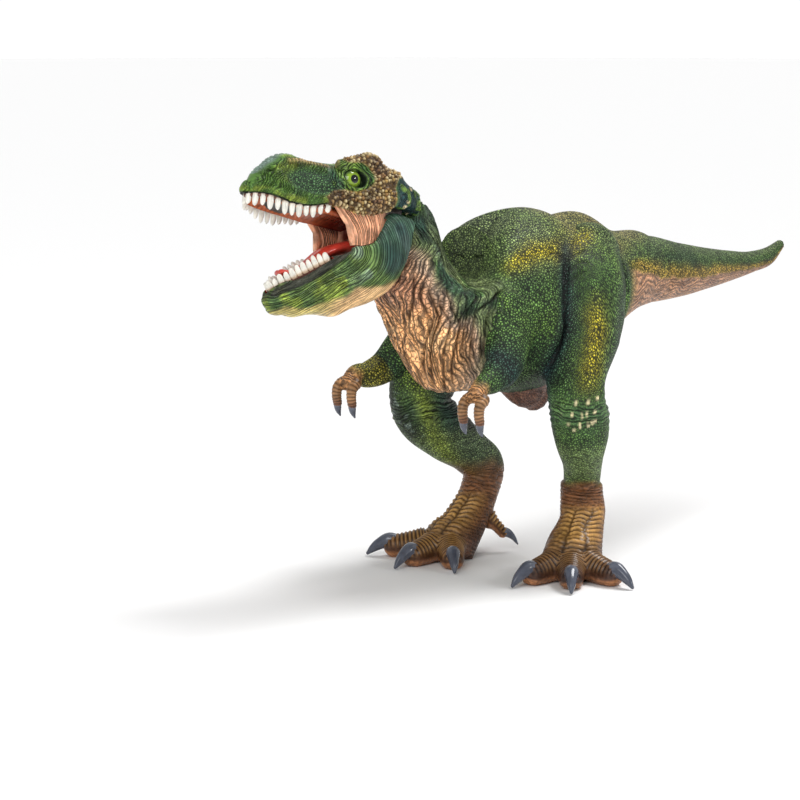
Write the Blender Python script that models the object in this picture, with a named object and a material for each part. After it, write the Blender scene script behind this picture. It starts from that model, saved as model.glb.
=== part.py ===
# Toy dinosaur figure: a two-legged hunter in moulded vinyl, with its mouth wide open.
# The head points along -X, the left side of the body lies on -Y, and +Z is up.
# A hollow trunk carries a plugged-in tail, two legs, two arms and the skull.
# The lower jaw turns on a cross pin in the skull, from wide open to nearly shut.
import math

import bmesh
import bpy
import numpy as np
from mathutils import Matrix, Vector

# Driving sizes of the body, in metres
BODY_LENGTH = 0.100
BACK_HEIGHT = 0.100
TRUNK_WIDTH = 0.050
TRUNK_DEPTH = 0.056
TRUNK_WALL = 0.0035
TAIL_LENGTH = 0.110
TAIL_THICKNESS = 0.022
TAIL_SWEEP = 0.022
TAIL_RISE = 0.006
TAIL_PLUG_WIDTH = 0.013
TAIL_PLUG_LENGTH = 0.009

# Driving sizes of the limbs
LEG_THICKNESS = 0.040
TOE_LENGTH = 0.0185
TOE_WIDTH = 0.0088
TOE_HEIGHT = 0.0086
TOE_CLAW_LENGTH = 0.0085
TOE_CLAW_WIDTH = 0.0050
SPUR_LENGTH = 0.011
SPUR_WIDTH = 0.0042
SPUR_CLAW_LENGTH = 0.0050
SPUR_CLAW_WIDTH = 0.0030
ARM_THICKNESS = 0.012
FINGER_WIDTH = 0.0034
FINGER_LENGTH = 0.0064
FINGER_CLAW_LENGTH = 0.0042
FINGER_CLAW_WIDTH = 0.0024

# Driving sizes of the head
HEAD_LENGTH = 0.050
HEAD_WIDTH = 0.025
HEAD_HEIGHT = 0.020
BROW_THICKNESS = 0.0062
EYE_DIAMETER = 0.0074
JAW_LENGTH = 0.050
JAW_WIDTH = 0.025
JAW_DEPTH = 0.020
JAW_WALL = 0.0020
HINGE_CORE_DIAMETER = 0.0115
PIN_DIAMETER = 0.0024
PIN_REACH = 0.0016
PALATE_THICKNESS = 0.0020
CHEEK_WALL = 0.0016
LIP_WALL = 0.0009
GUM_WIDTH = 0.0016
GUM_HEIGHT = 0.0020
UPPER_TOOTH_LENGTH = 0.0036
LOWER_TOOTH_LENGTH = 0.0032
TONGUE_WIDTH = 0.0080
TONGUE_THICKNESS = 0.0036

# Fits
FIT_GAP = 0.0003
PIN_CLEARANCE = 0.00006
OVERRUN = 0.002
WELD = 0.000002
SHARP_ANGLE = 40.0

# Counts
UPPER_TEETH = 24
LOWER_TEETH = 22

# Turns, in degrees
HEAD_YAW = 10.0
HEAD_ROLL = 13.0
SKULL_PITCH = 15.0
JAW_PITCH = -20.0
JAW_CLOSING = 24.0
LEFT_TOE_TURNS = (-2.0, 41.0, 86.0)
RIGHT_TOE_TURNS = (48.0, 4.0, -48.0)
LEFT_SPUR_TURN = -125.0
RIGHT_SPUR_TURN = 135.0
TOE_NAMES = ("inner", "middle", "outer")

# Roundness of the cross-sections: powers above and below, and how far the top is drawn in
TRUNK_EGG_SHARE = 0.10
SKULL_EGG_SHARE = 0.08
SKULL_POWERS = (2.4, 5.0)
JAW_POWERS = (4.0, 2.3)
TROUGH_POWERS = (5.0, 6.0)

# Neck and trunk, head end last: place along, across and up, half width, half depth
TRUNK_SHARES = (
    (0.34, 0.02, 0.908, 0.225, 0.197),
    (0.18, 0.00, 0.917, 0.290, 0.262),
    (0.02, 0.00, 0.912, 0.360, 0.393),
    (-0.14, 0.00, 0.866, 0.410, 0.470),
    (-0.30, 0.00, 0.862, 0.460, 0.514),
    (-0.45, 0.00, 0.856, 0.480, 0.496),
    (-0.57, 0.00, 0.852, 0.440, 0.440),
    (-0.69, 0.00, 0.905, 0.345, 0.325),
    (-0.79, 0.00, 1.012, 0.285, 0.275),
    (-0.86, 0.00, 1.085, 0.250, 0.225),
    (-0.92, 0.00, 1.118, 0.185, 0.165),
)
BULGE_SHARES = (
    (-0.325, 0.00, 0.630, 0.12, 0.11),
    (-0.27, 0.00, 0.578, 0.13, 0.12),
    (-0.215, 0.00, 0.538, 0.09, 0.085),
)
# Tail, root first: place along, across and up from the root, half width, half depth
TAIL_SHARES = (
    (-0.04, -0.02, 0.0, 0.50, 0.49),
    (0.0, 0.0, 0.0, 0.51, 0.50),
    (0.19, 0.14, -0.25, 0.44, 0.43),
    (0.39, 0.38, -0.47, 0.345, 0.34),
    (0.58, 0.59, -0.60, 0.255, 0.255),
    (0.77, 0.80, -0.63, 0.172, 0.177),
    (0.90, 0.91, -0.35, 0.115, 0.125),
    (1.0, 1.0, 0.28, 0.05, 0.06),
)
# Legs, hip first: place along, outward and up, half width, half depth, outward turn
# Their last row lies under the floor, so that the cut at the floor leaves a flat sole
LEFT_LEG_SHARES = (
    (-0.07, 0.27, 1.040, 0.13, 0.22, 0.0),
    (-0.12, 0.30, 0.930, 0.28, 0.41, 0.0),
    (-0.235, 0.42, 0.760, 0.31, 0.37, 10.0),
    (-0.32, 0.55, 0.630, 0.25, 0.29, 20.0),
    (-0.345, 0.60, 0.560, 0.240, 0.255, 26.0),
    (-0.295, 0.55, 0.450, 0.225, 0.25, 32.0),
    (-0.215, 0.43, 0.340, 0.170, 0.175, 36.0),
    (-0.18, 0.36, 0.255, 0.160, 0.165, 40.0),
    (-0.21, 0.41, 0.160, 0.172, 0.158, 42.0),
    (-0.28, 0.465, 0.085, 0.225, 0.185, 42.0),
    (-0.31, 0.49, 0.035, 0.250, 0.210, 42.0),
    (-0.31, 0.49, -0.020, 0.255, 0.215, 42.0),
)
RIGHT_LEG_SHARES = (
    (-0.06, 0.27, 1.010, 0.13, 0.24, 0.0),
    (-0.12, 0.30, 0.910, 0.28, 0.46, 0.0),
    (-0.30, 0.42, 0.730, 0.30, 0.40, 0.0),
    (-0.42, 0.52, 0.570, 0.24, 0.31, 2.0),
    (-0.45, 0.54, 0.490, 0.230, 0.27, 2.0),
    (-0.37, 0.51, 0.395, 0.215, 0.240, 2.0),
    (-0.26, 0.47, 0.310, 0.170, 0.185, 2.0),
    (-0.205, 0.44, 0.250, 0.155, 0.185, 2.0),
    (-0.27, 0.44, 0.160, 0.168, 0.160, 2.0),
    (-0.355, 0.44, 0.085, 0.210, 0.175, 2.0),
    (-0.39, 0.44, 0.035, 0.235, 0.195, 2.0),
    (-0.39, 0.44, -0.020, 0.240, 0.200, 2.0),
)
# Toes from the foot's centre: place along and up, half width, half depth
TOE_SHARES = (
    (0.10, 1.75, 1.05, 1.25),
    (0.40, 1.20, 1.00, 1.12),
    (0.72, 0.90, 0.95, 1.00),
    (0.95, 0.80, 0.86, 0.88),
)
# Claws from the toe's end: place along and up, half width, half depth
TOE_CLAW_SHARES = (
    (0.00, 1.20, 0.72, 0.72),
    (0.30, 1.25, 0.92, 1.00),
    (0.58, 0.98, 0.72, 0.80),
    (0.82, 0.55, 0.42, 0.48),
    (1.00, 0.16, 0.10, 0.12),
)
# Spurs and their claws: place along and up, half width; a spur leaves its foot between two rows
SPUR_ROOT_SHARE = 0.5
SPUR_SHARES = ((0.0, 0.0, 1.25), (0.45, -0.16, 1.0), (0.80, -0.42, 0.95), (1.0, -0.60, 0.90))
SPUR_CLAW_SHARES = ((-0.25, 0.15, 0.8), (0.25, 0.0, 1.0), (0.70, -0.35, 0.6), (1.0, -0.80, 0.14))
# Arms, shoulder first: place along, outward and up, half width, half depth, outward turn
LEFT_ARM_SHARES = (
    (-0.530, 0.36, 0.86, 0.36, 0.60, 0.0),
    (-0.570, 0.43, 0.77, 0.40, 0.56, 0.0),
    (-0.625, 0.48, 0.70, 0.38, 0.44, 0.0),
    (-0.690, 0.50, 0.665, 0.30, 0.33, 0.0),
    (-0.760, 0.52, 0.650, 0.24, 0.24, 0.0),
    (-0.800, 0.53, 0.630, 0.23, 0.21, 0.0),
)
RIGHT_ARM_SHARES = (
    (-0.535, 0.40, 0.80, 0.40, 0.60, 0.0),
    (-0.570, 0.50, 0.71, 0.42, 0.54, 0.0),
    (-0.610, 0.58, 0.645, 0.40, 0.44, 0.0),
    (-0.680, 0.60, 0.625, 0.34, 0.35, 0.0),
    (-0.740, 0.61, 0.630, 0.26, 0.25, 0.0),
    (-0.775, 0.61, 0.605, 0.24, 0.22, 0.0),
)
# Fingers and their claws: place ahead and down, half width; each finger's place across the hand
FINGER_SHARES = ((0.0, 0.0, 1.05), (0.28, 0.22, 1.0), (0.36, 0.60, 0.95), (0.30, 1.0, 0.88))
FINGER_CLAW_SHARES = ((0.0, -0.25, 0.85), (0.0, 0.20, 1.0), (-0.10, 0.65, 0.7), (-0.28, 1.0, 0.2))
FINGER_SPREAD_SHARE = 0.56

# Head, as places along the head, top, bottom and half width
SKULL_SHARES = (
    (-0.20, 0.500, 0.080, 0.428),
    (-0.10, 0.620, 0.075, 0.486),
    (0.02, 0.710, -0.010, 0.508),
    (0.14, 0.730, -0.110, 0.504),
    (0.26, 0.670, -0.160, 0.464),
    (0.34, 0.620, -0.210, 0.432),
    (0.52, 0.570, -0.225, 0.376),
    (0.66, 0.530, -0.225, 0.340),
    (0.76, 0.440, -0.220, 0.290),
    (0.82, 0.340, -0.215, 0.225),
    (0.86, 0.210, -0.205, 0.140),
    (0.88, 0.100, -0.190, 0.070),
)
BROW_SHARES = (
    (0.34, 0.34, 0.56, 0.30, 0.30),
    (0.22, 0.36, 0.66, 0.48, 0.44),
    (0.10, 0.36, 0.72, 0.52, 0.50),
    (-0.05, 0.34, 0.60, 0.46, 0.44),
    (-0.14, 0.32, 0.50, 0.24, 0.24),
)
EYE_SHARES = (0.285, 0.335, 0.365)
JAW_SHARES = (
    (-0.12, 0.05, -0.15, 0.456),
    (-0.06, 0.19, -0.40, 0.484),
    (0.01, 0.22, -0.60, 0.496),
    (0.10, 0.08, -0.74, 0.496),
    (0.20, 0.02, -0.81, 0.476),
    (0.30, 0.09, -0.81, 0.436),
    (0.42, 0.12, -0.75, 0.388),
    (0.56, 0.08, -0.65, 0.336),
    (0.68, 0.05, -0.55, 0.288),
    (0.775, 0.06, -0.48, 0.240),
    (0.83, 0.05, -0.38, 0.170),
)
# The jaw's floor starts here along the jaw, and its hinge cheeks stand free behind it
JAW_FLOOR_SHARE = 0.08
TONGUE_SHARES = (
    (0.20, -0.470, 0.34, 0.36),
    (0.32, -0.390, 0.48, 0.46),
    (0.44, -0.275, 0.50, 0.46),
    (0.57, -0.135, 0.46, 0.42),
    (0.66, 0.020, 0.38, 0.36),
    (0.70, 0.090, 0.28, 0.28),
)
# The cheek walls' outline, as places along and up from the head's centre
CHEEK_SHARES = (
    (0.04, -0.08),
    (0.14, -0.145),
    (0.26, -0.195),
    (0.38, -0.245),
    (0.34, -0.36),
    (0.32, -0.53),
    (0.308, -0.72),
    (0.18, -0.69),
    (0.08, -0.60),
    (0.00, -0.475),
)
CHEEK_SPREAD_SHARES = (0.36, 0.262)
THROAT_SHARES = ((0.06, -0.13), (0.11, -0.13), (0.13, -0.60), (0.09, -0.60))
HINGE_SHARES = (-0.063, -0.225)
CORE_BRIDGE_SHARES = (-0.110, 0.250)
# The jaw's trough: place along the jaw, top, floor, and how much of the gum's shelf it leaves
JAW_TROUGH_SHARES = (
    (0.04, 0.60, -0.58, 0.0),
    (0.16, 0.60, -0.57, 0.0),
    (0.30, 0.60, -0.50, 0.0),
    (0.41, 0.60, -0.41, 0.0),
    (0.48, 0.60, -0.34, 1.0),
    (0.56, 0.60, -0.28, 1.0),
    (0.68, 0.60, -0.22, 1.0),
    (0.775, 0.60, -0.18, 1.0),
)
UPPER_START_SHARE = 0.36
LOWER_START_SHARE = 0.45
PALATE_SHARES = (0.07, 0.34)
GUM_SEAT_SHARE = -0.112
LOWER_GUM_SHARE = 0.05
TOOTH_TAPER_SHARES = ((0.30, 0.98), (0.72, 0.72), (1.0, 0.22))
HEAD_CENTRE_SHARES = (-0.95, 0.01, 1.15)

# Directions in the head's frames
AHEAD = (1.0, 0.0, 0.0)
LEFT = (0.0, 1.0, 0.0)

COLOURS = {
    "trunk": (0.075, 0.17, 0.045),
    "limb": (0.085, 0.18, 0.05),
    "head": (0.07, 0.16, 0.05),
    "flesh": (0.55, 0.20, 0.13),
    "tongue": (0.65, 0.05, 0.03),
    "tooth": (0.80, 0.74, 0.60),
    "claw": (0.09, 0.09, 0.12),
    "eye": (0.45, 0.55, 0.04),
    "steel": (0.60, 0.60, 0.62),
}


def clear_scene():
    for item in list(bpy.data.objects):
        bpy.data.objects.remove(item)


def finish_of(name, roughness, metallic=0.0):
    """A material of one of the listed colours."""
    material = bpy.data.materials.get(name) or bpy.data.materials.new(name)
    material.use_nodes = True
    shader = material.node_tree.nodes["Principled BSDF"]
    shader.inputs["Base Color"].default_value = (*COLOURS[name], 1.0)
    shader.inputs["Roughness"].default_value = roughness
    shader.inputs["Metallic"].default_value = metallic
    return material


def empty(name, parent, place, turn=Matrix.Identity(4)):
    """A named frame that pieces are parented to."""
    frame = bpy.data.objects.new(name, None)
    bpy.context.scene.collection.objects.link(frame)
    frame.parent = parent
    frame.matrix_local = Matrix.Translation(place) @ turn
    return frame


def shade(mesh):
    mesh.shade_smooth()
    mesh.set_sharp_from_angle(angle=math.radians(SHARP_ANGLE))


def piece(name, mesh, parent, material):
    """One named piece in its parent's frame."""
    item = bpy.data.objects.new(name, mesh)
    bpy.context.scene.collection.objects.link(item)
    item.parent = parent
    if material:
        mesh.materials.clear()
        mesh.materials.append(material)
    shade(mesh)
    return item


def boolean(target, tool, operation):
    """Cuts the tool out of the target, or joins it on, and uses the tool up."""
    step = target.modifiers.new(operation.lower(), "BOOLEAN")
    step.operation = operation
    step.object = tool
    step.solver = "EXACT"
    bpy.context.view_layer.update()
    depsgraph = bpy.context.evaluated_depsgraph_get()
    shell = bmesh.new()
    shell.from_object(target, depsgraph)
    finishes = list(target.data.materials)
    target.modifiers.clear()
    target.data = closed_mesh(target.name, shell, turn_out=False)
    for material in finishes:
        target.data.materials.append(material)
    shade(target.data)
    bpy.data.objects.remove(tool)


def join(target, *tools):
    for tool in tools:
        boolean(target, tool, "UNION")


def cut(target, *tools):
    for tool in tools:
        boolean(target, tool, "DIFFERENCE")


def smooth_rows(rows, steps):
    """Rows read from a smooth curve through the given rows, with a number of steps in each span.

    Each span is a cubic between two rows, whose slope at a row is the mean of its two chords,
    weighted by the other chord's length."""
    rows = np.array(rows, dtype=float)
    chords = np.diff(rows, axis=0)
    lengths = np.linalg.norm(chords[:, :3], axis=1)[:, None]
    slopes = chords / lengths
    tangents = np.vstack([slopes[:1], slopes[-1:]]) if len(rows) == 2 else np.vstack([
        slopes[:1],
        (slopes[:-1] * lengths[1:] + slopes[1:] * lengths[:-1]) / (lengths[1:] + lengths[:-1]),
        slopes[-1:],
    ])
    out = []
    for span in range(len(rows) - 1):
        for t in np.arange(steps) / steps:
            start = (2 * t**3 - 3 * t**2 + 1) * rows[span]
            end = (3 * t**2 - 2 * t**3) * rows[span + 1]
            leave = (t**3 - 2 * t**2 + t) * tangents[span] * lengths[span]
            arrive = (t**3 - t**2) * tangents[span + 1] * lengths[span]
            out.append(start + end + leave + arrive)
    out.append(rows[-1])
    return np.array(out)


def dome_rows(row, away, rings):
    """Rows that round off an end: they follow a quarter ellipse out from the end row."""
    out = []
    reach = min(row[3], row[4])
    for k in range(1, rings + 1):
        angle = math.radians(90.0) * k / rings
        ring = row.copy()
        ring[:3] += away * reach * math.sin(angle)
        ring[3:5] *= math.cos(angle)
        out.append(ring)
    return out


def closed_mesh(name, shell, turn_out=True):
    """The working mesh as triangles, with specks shorter than the weld closed up.

    A new single surface is turned to face out; a cut one keeps its faces, since a hollow in it
    faces inwards."""
    bmesh.ops.remove_doubles(shell, verts=shell.verts, dist=WELD)
    bmesh.ops.dissolve_degenerate(shell, edges=shell.edges, dist=WELD)
    bmesh.ops.triangulate(shell, faces=shell.faces)
    if turn_out:
        bmesh.ops.recalc_face_normals(shell, faces=shell.faces)
    mesh = bpy.data.meshes.new(name)
    shell.to_mesh(mesh)
    shell.free()
    return mesh


def ring_mesh(name, rings, poles):
    """A closed tube through rings of points, with a flat or a pointed cap at each end."""
    shell = bmesh.new()
    loops = []
    for index, ring in enumerate(rings):
        pole = (index == 0 and poles[0]) or (index == len(rings) - 1 and poles[1])
        points = [ring.mean(axis=0)] if pole else ring
        loops.append([shell.verts.new(point) for point in points])
    for near, far in zip(loops, loops[1:]):
        count = max(len(near), len(far))
        for k in range(count):
            after = (k + 1) % count
            corners = [near[k % len(near)], near[after % len(near)],
                       far[after % len(far)], far[k % len(far)]]
            shell.faces.new(list(dict.fromkeys(corners)))
    for loop in (loops[0], loops[-1]):
        if len(loop) > 1:
            shell.faces.new(loop)
    return closed_mesh(name, shell)


def tube(name, rows, sides, steps, grow=0.0, power=(2.0, 2.0), egg=0.0, side=(0.0, -1.0, 0.0),
         upright=None, domes=(2, 2)):
    """A limb-like tube along a smooth curve through the rows.

    A row holds a place, a half width along the side vector, a half depth square to it, and
    perhaps a turn of the side vector about +Z in degrees. The section is a superellipse, with
    one power above and one below, whose upper half is drawn in by the egg value. Grow widens
    all of it."""
    rows = smooth_rows(rows, steps)
    rows[:, 3:5] += grow
    track = np.gradient(rows[:, :3], axis=0)
    track /= np.linalg.norm(track, axis=1)[:, None]
    if upright is not None:
        track[:] = upright
    rows[0, :3] -= track[0] * grow
    rows[-1, :3] += track[-1] * grow
    first = dome_rows(rows[0], -track[0], domes[0])[::-1]
    last = dome_rows(rows[-1], track[-1], domes[1])
    track = np.vstack([track[:1]] * len(first) + [track] + [track[-1:]] * len(last))
    rows = np.vstack(first + [rows] + last)
    angles = np.radians(360.0) * np.arange(sides) / sides
    powers = np.where(np.sin(angles) > 0, power[0], power[1])
    across = np.sign(np.cos(angles)) * np.abs(np.cos(angles)) ** (2.0 / powers)
    upward = np.sign(np.sin(angles)) * np.abs(np.sin(angles)) ** (2.0 / powers)
    hand = -1.0 if np.cross(side, track[0])[2] < 0 else 1.0
    rings = []
    for row, ahead in zip(rows, track):
        turn = math.radians(row[5]) if len(row) > 5 else 0.0
        aside = Matrix.Rotation(turn, 3, "Z") @ Vector(side)
        aside = np.array(aside) - np.dot(aside, ahead) * ahead
        aside /= np.linalg.norm(aside)
        rise = np.cross(aside, ahead) * hand
        width = row[3] * across * (1.0 - egg * upward)
        rings.append(row[:3] + width[:, None] * aside + (row[4] * upward)[:, None] * rise)
    return ring_mesh(name, rings, (domes[0] > 0, domes[1] > 0))


def prism(name, outline, low, high):
    """A plate whose outline lies in the local XZ plane, from one place across to another."""
    rings = [np.array([(x, y, z) for x, z in outline]) for y in (low, high)]
    return ring_mesh(name, rings, (False, False))


def scaled(shares, *sizes):
    """A table of shares as real sizes, column by column; a missing size leaves a column alone."""
    scale = np.ones(len(shares[0]))
    scale[:len(sizes)] = sizes
    return np.array(shares) * scale


def head_rows(shares, length, depth, width):
    """Rows of a head tube from its places along, top, bottom and half width."""
    table = np.array(shares)
    middle = (table[:, 1] + table[:, 2]) / 2 * depth
    half = (table[:, 1] - table[:, 2]) / 2 * depth
    zero = np.zeros(len(table))
    return np.column_stack([table[:, 0] * length, zero, middle, table[:, 3] * width, half])


def trunk_rows():
    return scaled(TRUNK_SHARES, BODY_LENGTH, TRUNK_WIDTH, BACK_HEIGHT, TRUNK_WIDTH, TRUNK_DEPTH)


def trunk_tube(name, root, grow=0.0):
    """The neck and torso as one solid tube with flat ends."""
    mesh = tube(name, trunk_rows(), 22, 2, grow=grow, egg=TRUNK_EGG_SHARE, domes=(0, 0))
    return piece(name, mesh, root, finish_of("trunk", 0.45))


def make_trunk(root):
    """The hollow neck and torso, open at its rear for the tail's plug."""
    skin = finish_of("trunk", 0.45)
    rows = trunk_rows()
    trunk = trunk_tube("trunk_shell", root)
    bulge = scaled(BULGE_SHARES, BODY_LENGTH, TRUNK_WIDTH, BACK_HEIGHT, TRUNK_WIDTH, TRUNK_DEPTH)
    join(trunk, piece("bulge", tube("bulge", bulge, 10, 2), root, skin))
    hollow = tube("hollow", rows[1:-2], 14, 1, grow=-TRUNK_WALL, egg=TRUNK_EGG_SHARE, domes=(1, 1))
    cut(trunk, piece("hollow", hollow, root, skin))
    return trunk


def tail_rows():
    root_place = trunk_rows()[0][:3]
    rows = scaled(TAIL_SHARES, TAIL_LENGTH, TAIL_SWEEP, TAIL_RISE, TAIL_THICKNESS, TAIL_THICKNESS)
    rows[:, :3] += root_place
    return rows


def tail_plug_rows():
    place = trunk_rows()[0][:3]
    ahead = place - tail_rows()[2][:3]
    ahead /= np.linalg.norm(ahead)
    half = TAIL_PLUG_WIDTH / 2
    inner = place + ahead * TAIL_PLUG_LENGTH
    outer = place - ahead * OVERRUN
    return np.array([(*inner, half, half), (*outer, half, half)])


def make_tail(root, trunk):
    """The tail butts against the trunk's rear face, and its plug enters the hollow."""
    skin = finish_of("trunk", 0.45)
    tail = piece("tail", tube("tail", tail_rows(), 18, 2, domes=(0, 2)), root, skin)
    cut(tail, trunk_tube("rear", root, FIT_GAP))
    join(tail, piece("plug", tube("plug", tail_plug_rows(), 14, 1, domes=(0, 0)), root, skin))
    socket = tube("socket", tail_plug_rows(), 14, 1, grow=FIT_GAP, domes=(0, 0))
    cut(trunk, piece("socket", socket, root, skin))
    return tail


def foot_centre(rows):
    """The place on the floor under the end of a leg's rows."""
    return np.array([rows[-1][0], rows[-1][1], 0.0])


def toe_rows(centre, turn):
    """A toe from the foot's centre, and its claw's rows, in a given direction from -X."""
    ahead = np.array([-math.cos(turn), -math.sin(turn), 0.0])
    rise = np.array([0.0, 0.0, 1.0])
    wide, high = TOE_WIDTH / 2, TOE_HEIGHT / 2
    toe = [(*(centre + ahead * TOE_LENGTH * along + rise * high * up), wide * a, high * b)
           for along, up, a, b in TOE_SHARES]
    tip = TOE_LENGTH - TOE_CLAW_WIDTH / 2
    nail = TOE_CLAW_WIDTH / 2
    reach = TOE_CLAW_LENGTH + TOE_CLAW_WIDTH / 2
    claw = [(*(centre + ahead * (tip + reach * along) + rise * high * up), nail * a, nail * b)
            for along, up, a, b in TOE_CLAW_SHARES]
    side = (-math.sin(turn), math.cos(turn), 0.0)
    return np.array(toe), np.array(claw), side


def spur_rows(start, turn):
    """The small hind toe from the side of the foot's shaft, and its claw's rows."""
    ahead = np.array([-math.cos(turn), -math.sin(turn), 0.0])
    rise = np.array([0.0, 0.0, 1.0])
    wide = SPUR_WIDTH / 2
    spur = [(*(start + ahead * SPUR_LENGTH * along + rise * SPUR_LENGTH * up), wide * a, wide * a)
            for along, up, a in SPUR_SHARES]
    end = np.array(spur[-1][:3])
    nail = SPUR_CLAW_WIDTH / 2
    claw = [(*(end + ahead * SPUR_CLAW_LENGTH * along + rise * SPUR_CLAW_LENGTH * up),
             nail * a, nail * a) for along, up, a in SPUR_CLAW_SHARES]
    side = (-math.sin(turn), math.cos(turn), 0.0)
    return np.array(spur), np.array(claw), side


def leg_rows(shares, hand):
    """Leg rows on one side of the body: hand is -1 on the left and +1 on the right."""
    rows = scaled(shares, BODY_LENGTH, hand * TRUNK_WIDTH, BACK_HEIGHT, LEG_THICKNESS, LEG_THICKNESS)
    rows[:, 5] *= -hand
    return rows


def make_leg(name, shares, hand, toe_turns, spur_turn, root, trunk):
    """One leg from hip to toes, seated in a pocket of the trunk, with four pressed-in claws."""
    skin = finish_of("limb", 0.45)
    horn = finish_of("claw", 0.25)
    rows = leg_rows(shares, hand)
    side = (0.0, -1.0, 0.0)
    leg = piece(name + "_leg", tube(name + "_leg", rows, 16, 2, side=side, domes=(2, 0)), root, skin)
    pocket = tube("pocket", rows[:7], 16, 2, grow=FIT_GAP, side=side, domes=(2, 0))
    cut(trunk, piece("pocket", pocket, root, skin))
    centre = foot_centre(rows)
    for toe_name, turn in zip(TOE_NAMES, toe_turns):
        toe, claw, across = toe_rows(centre, math.radians(turn))
        join(leg, piece("toe", tube("toe", toe, 10, 2, side=across, domes=(1, 1)), root, skin))
        nail = tube(f"{name}_{toe_name}_claw", claw, 8, 1, side=across, domes=(0, 1))
        piece(f"{name}_{toe_name}_claw", nail, root, horn)
        seat = tube("seat", claw, 8, 1, grow=FIT_GAP, side=across, domes=(1, 1))
        cut(leg, piece("seat", seat, root, skin))
    shaft = rows[-4][:3] * (1.0 - SPUR_ROOT_SHARE) + rows[-3][:3] * SPUR_ROOT_SHARE
    spur, claw, across = spur_rows(shaft, math.radians(spur_turn))
    join(leg, piece("spur", tube("spur", spur, 8, 1, side=across, domes=(1, 1)), root, skin))
    piece(name + "_spur_claw", tube(name + "_spur_claw", claw, 8, 1, side=across, domes=(0, 1)),
          root, horn)
    seat = tube("seat", claw, 8, 1, grow=FIT_GAP, side=across, domes=(1, 1))
    cut(leg, piece("seat", seat, root, skin))
    behind, ahead = centre[0] + LEG_THICKNESS, centre[0] - LEG_THICKNESS
    outline = [(ahead, -LEG_THICKNESS), (behind, -LEG_THICKNESS), (behind, 0.0), (ahead, 0.0)]
    floor = prism("floor", outline, centre[1] - LEG_THICKNESS, centre[1] + LEG_THICKNESS)
    cut(leg, piece("floor", floor, root, skin))
    return leg


def finger_rows(wrist, ahead, across, share):
    """One hanging finger and its claw, a share of the hand's width off its middle."""
    drop = np.array([0.0, 0.0, -1.0])
    start = wrist + across * FINGER_WIDTH * share
    wide = FINGER_WIDTH / 2
    finger = [(*(start + ahead * FINGER_LENGTH * along + drop * FINGER_LENGTH * down), wide * a,
               wide * a) for along, down, a in FINGER_SHARES]
    end = np.array(finger[-1][:3])
    nail = FINGER_CLAW_WIDTH / 2
    claw = [(*(end + ahead * FINGER_CLAW_LENGTH * along + drop * FINGER_CLAW_LENGTH * down),
             nail * a, nail * a) for along, down, a in FINGER_CLAW_SHARES]
    return np.array(finger), np.array(claw)


def make_arm(name, shares, hand, root, trunk, leg):
    """One short arm, seated in the chest and clear of the thigh, with two fingers and their claws."""
    skin = finish_of("limb", 0.45)
    horn = finish_of("claw", 0.25)
    rows = scaled(shares, BODY_LENGTH, hand * TRUNK_WIDTH, BACK_HEIGHT, ARM_THICKNESS, ARM_THICKNESS)
    arm = piece(name + "_arm", tube(name + "_arm", rows, 12, 2, domes=(2, 1)), root, skin)
    for carrier in (trunk, leg):
        seat = tube("seat", rows, 12, 2, grow=FIT_GAP, domes=(2, 1))
        cut(carrier, piece("seat", seat, root, skin))
    ahead = np.array([-1.0, 0.0, 0.0])
    across = np.array([0.0, 1.0, 0.0])
    for finger_name, share in (("inner", -hand * FINGER_SPREAD_SHARE), ("outer", hand * FINGER_SPREAD_SHARE)):
        finger, claw = finger_rows(rows[-1][:3], ahead, across, share)
        join(arm, piece("finger", tube("finger", finger, 8, 2, domes=(1, 1)), root, skin))
        label = f"{name}_{finger_name}_finger_claw"
        piece(label, tube(label, claw, 8, 1, domes=(0, 1)), root, horn)
        seat = tube("seat", claw, 8, 1, grow=FIT_GAP, domes=(1, 1))
        cut(arm, piece("seat", seat, root, skin))
    return arm


def head_frames(root):
    """The skull's frame and, on its pin's axis, the jaw's frame: +X ahead, +Y left, +Z up."""
    facing = (Matrix.Rotation(math.radians(180.0 - HEAD_YAW), 4, "Z")
              @ Matrix.Rotation(math.radians(HEAD_ROLL), 4, "X"))
    place = Vector(scaled((HEAD_CENTRE_SHARES,), BODY_LENGTH, TRUNK_WIDTH, BACK_HEIGHT)[0])
    skull_frame = empty("skull_frame", root, place,
                        facing @ Matrix.Rotation(math.radians(-SKULL_PITCH), 4, "Y"))
    along, up = HINGE_SHARES
    pin = Vector((along * HEAD_LENGTH, 0.0, up * HEAD_HEIGHT))
    jaw_frame = empty("jaw_hinge", skull_frame, pin,
                      Matrix.Rotation(math.radians(SKULL_PITCH - JAW_PITCH), 4, "Y"))
    return skull_frame, jaw_frame


def skull_rows():
    return head_rows(SKULL_SHARES, HEAD_LENGTH, HEAD_HEIGHT, HEAD_WIDTH)


def jaw_rows():
    return head_rows(JAW_SHARES, JAW_LENGTH, JAW_DEPTH, JAW_WIDTH)


def core_half():
    """Half the width of the hinge core, which fits between the jaw's hinge cheeks."""
    return JAW_SHARES[0][3] * JAW_WIDTH - JAW_WALL - FIT_GAP


def jaw_tube(name, parent, grow=0.0):
    mesh = tube(name, jaw_rows(), 20, 2, grow=grow, power=JAW_POWERS, side=LEFT, upright=AHEAD,
                domes=(0, 2))
    return piece(name, mesh, parent, finish_of("head", 0.45))


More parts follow.
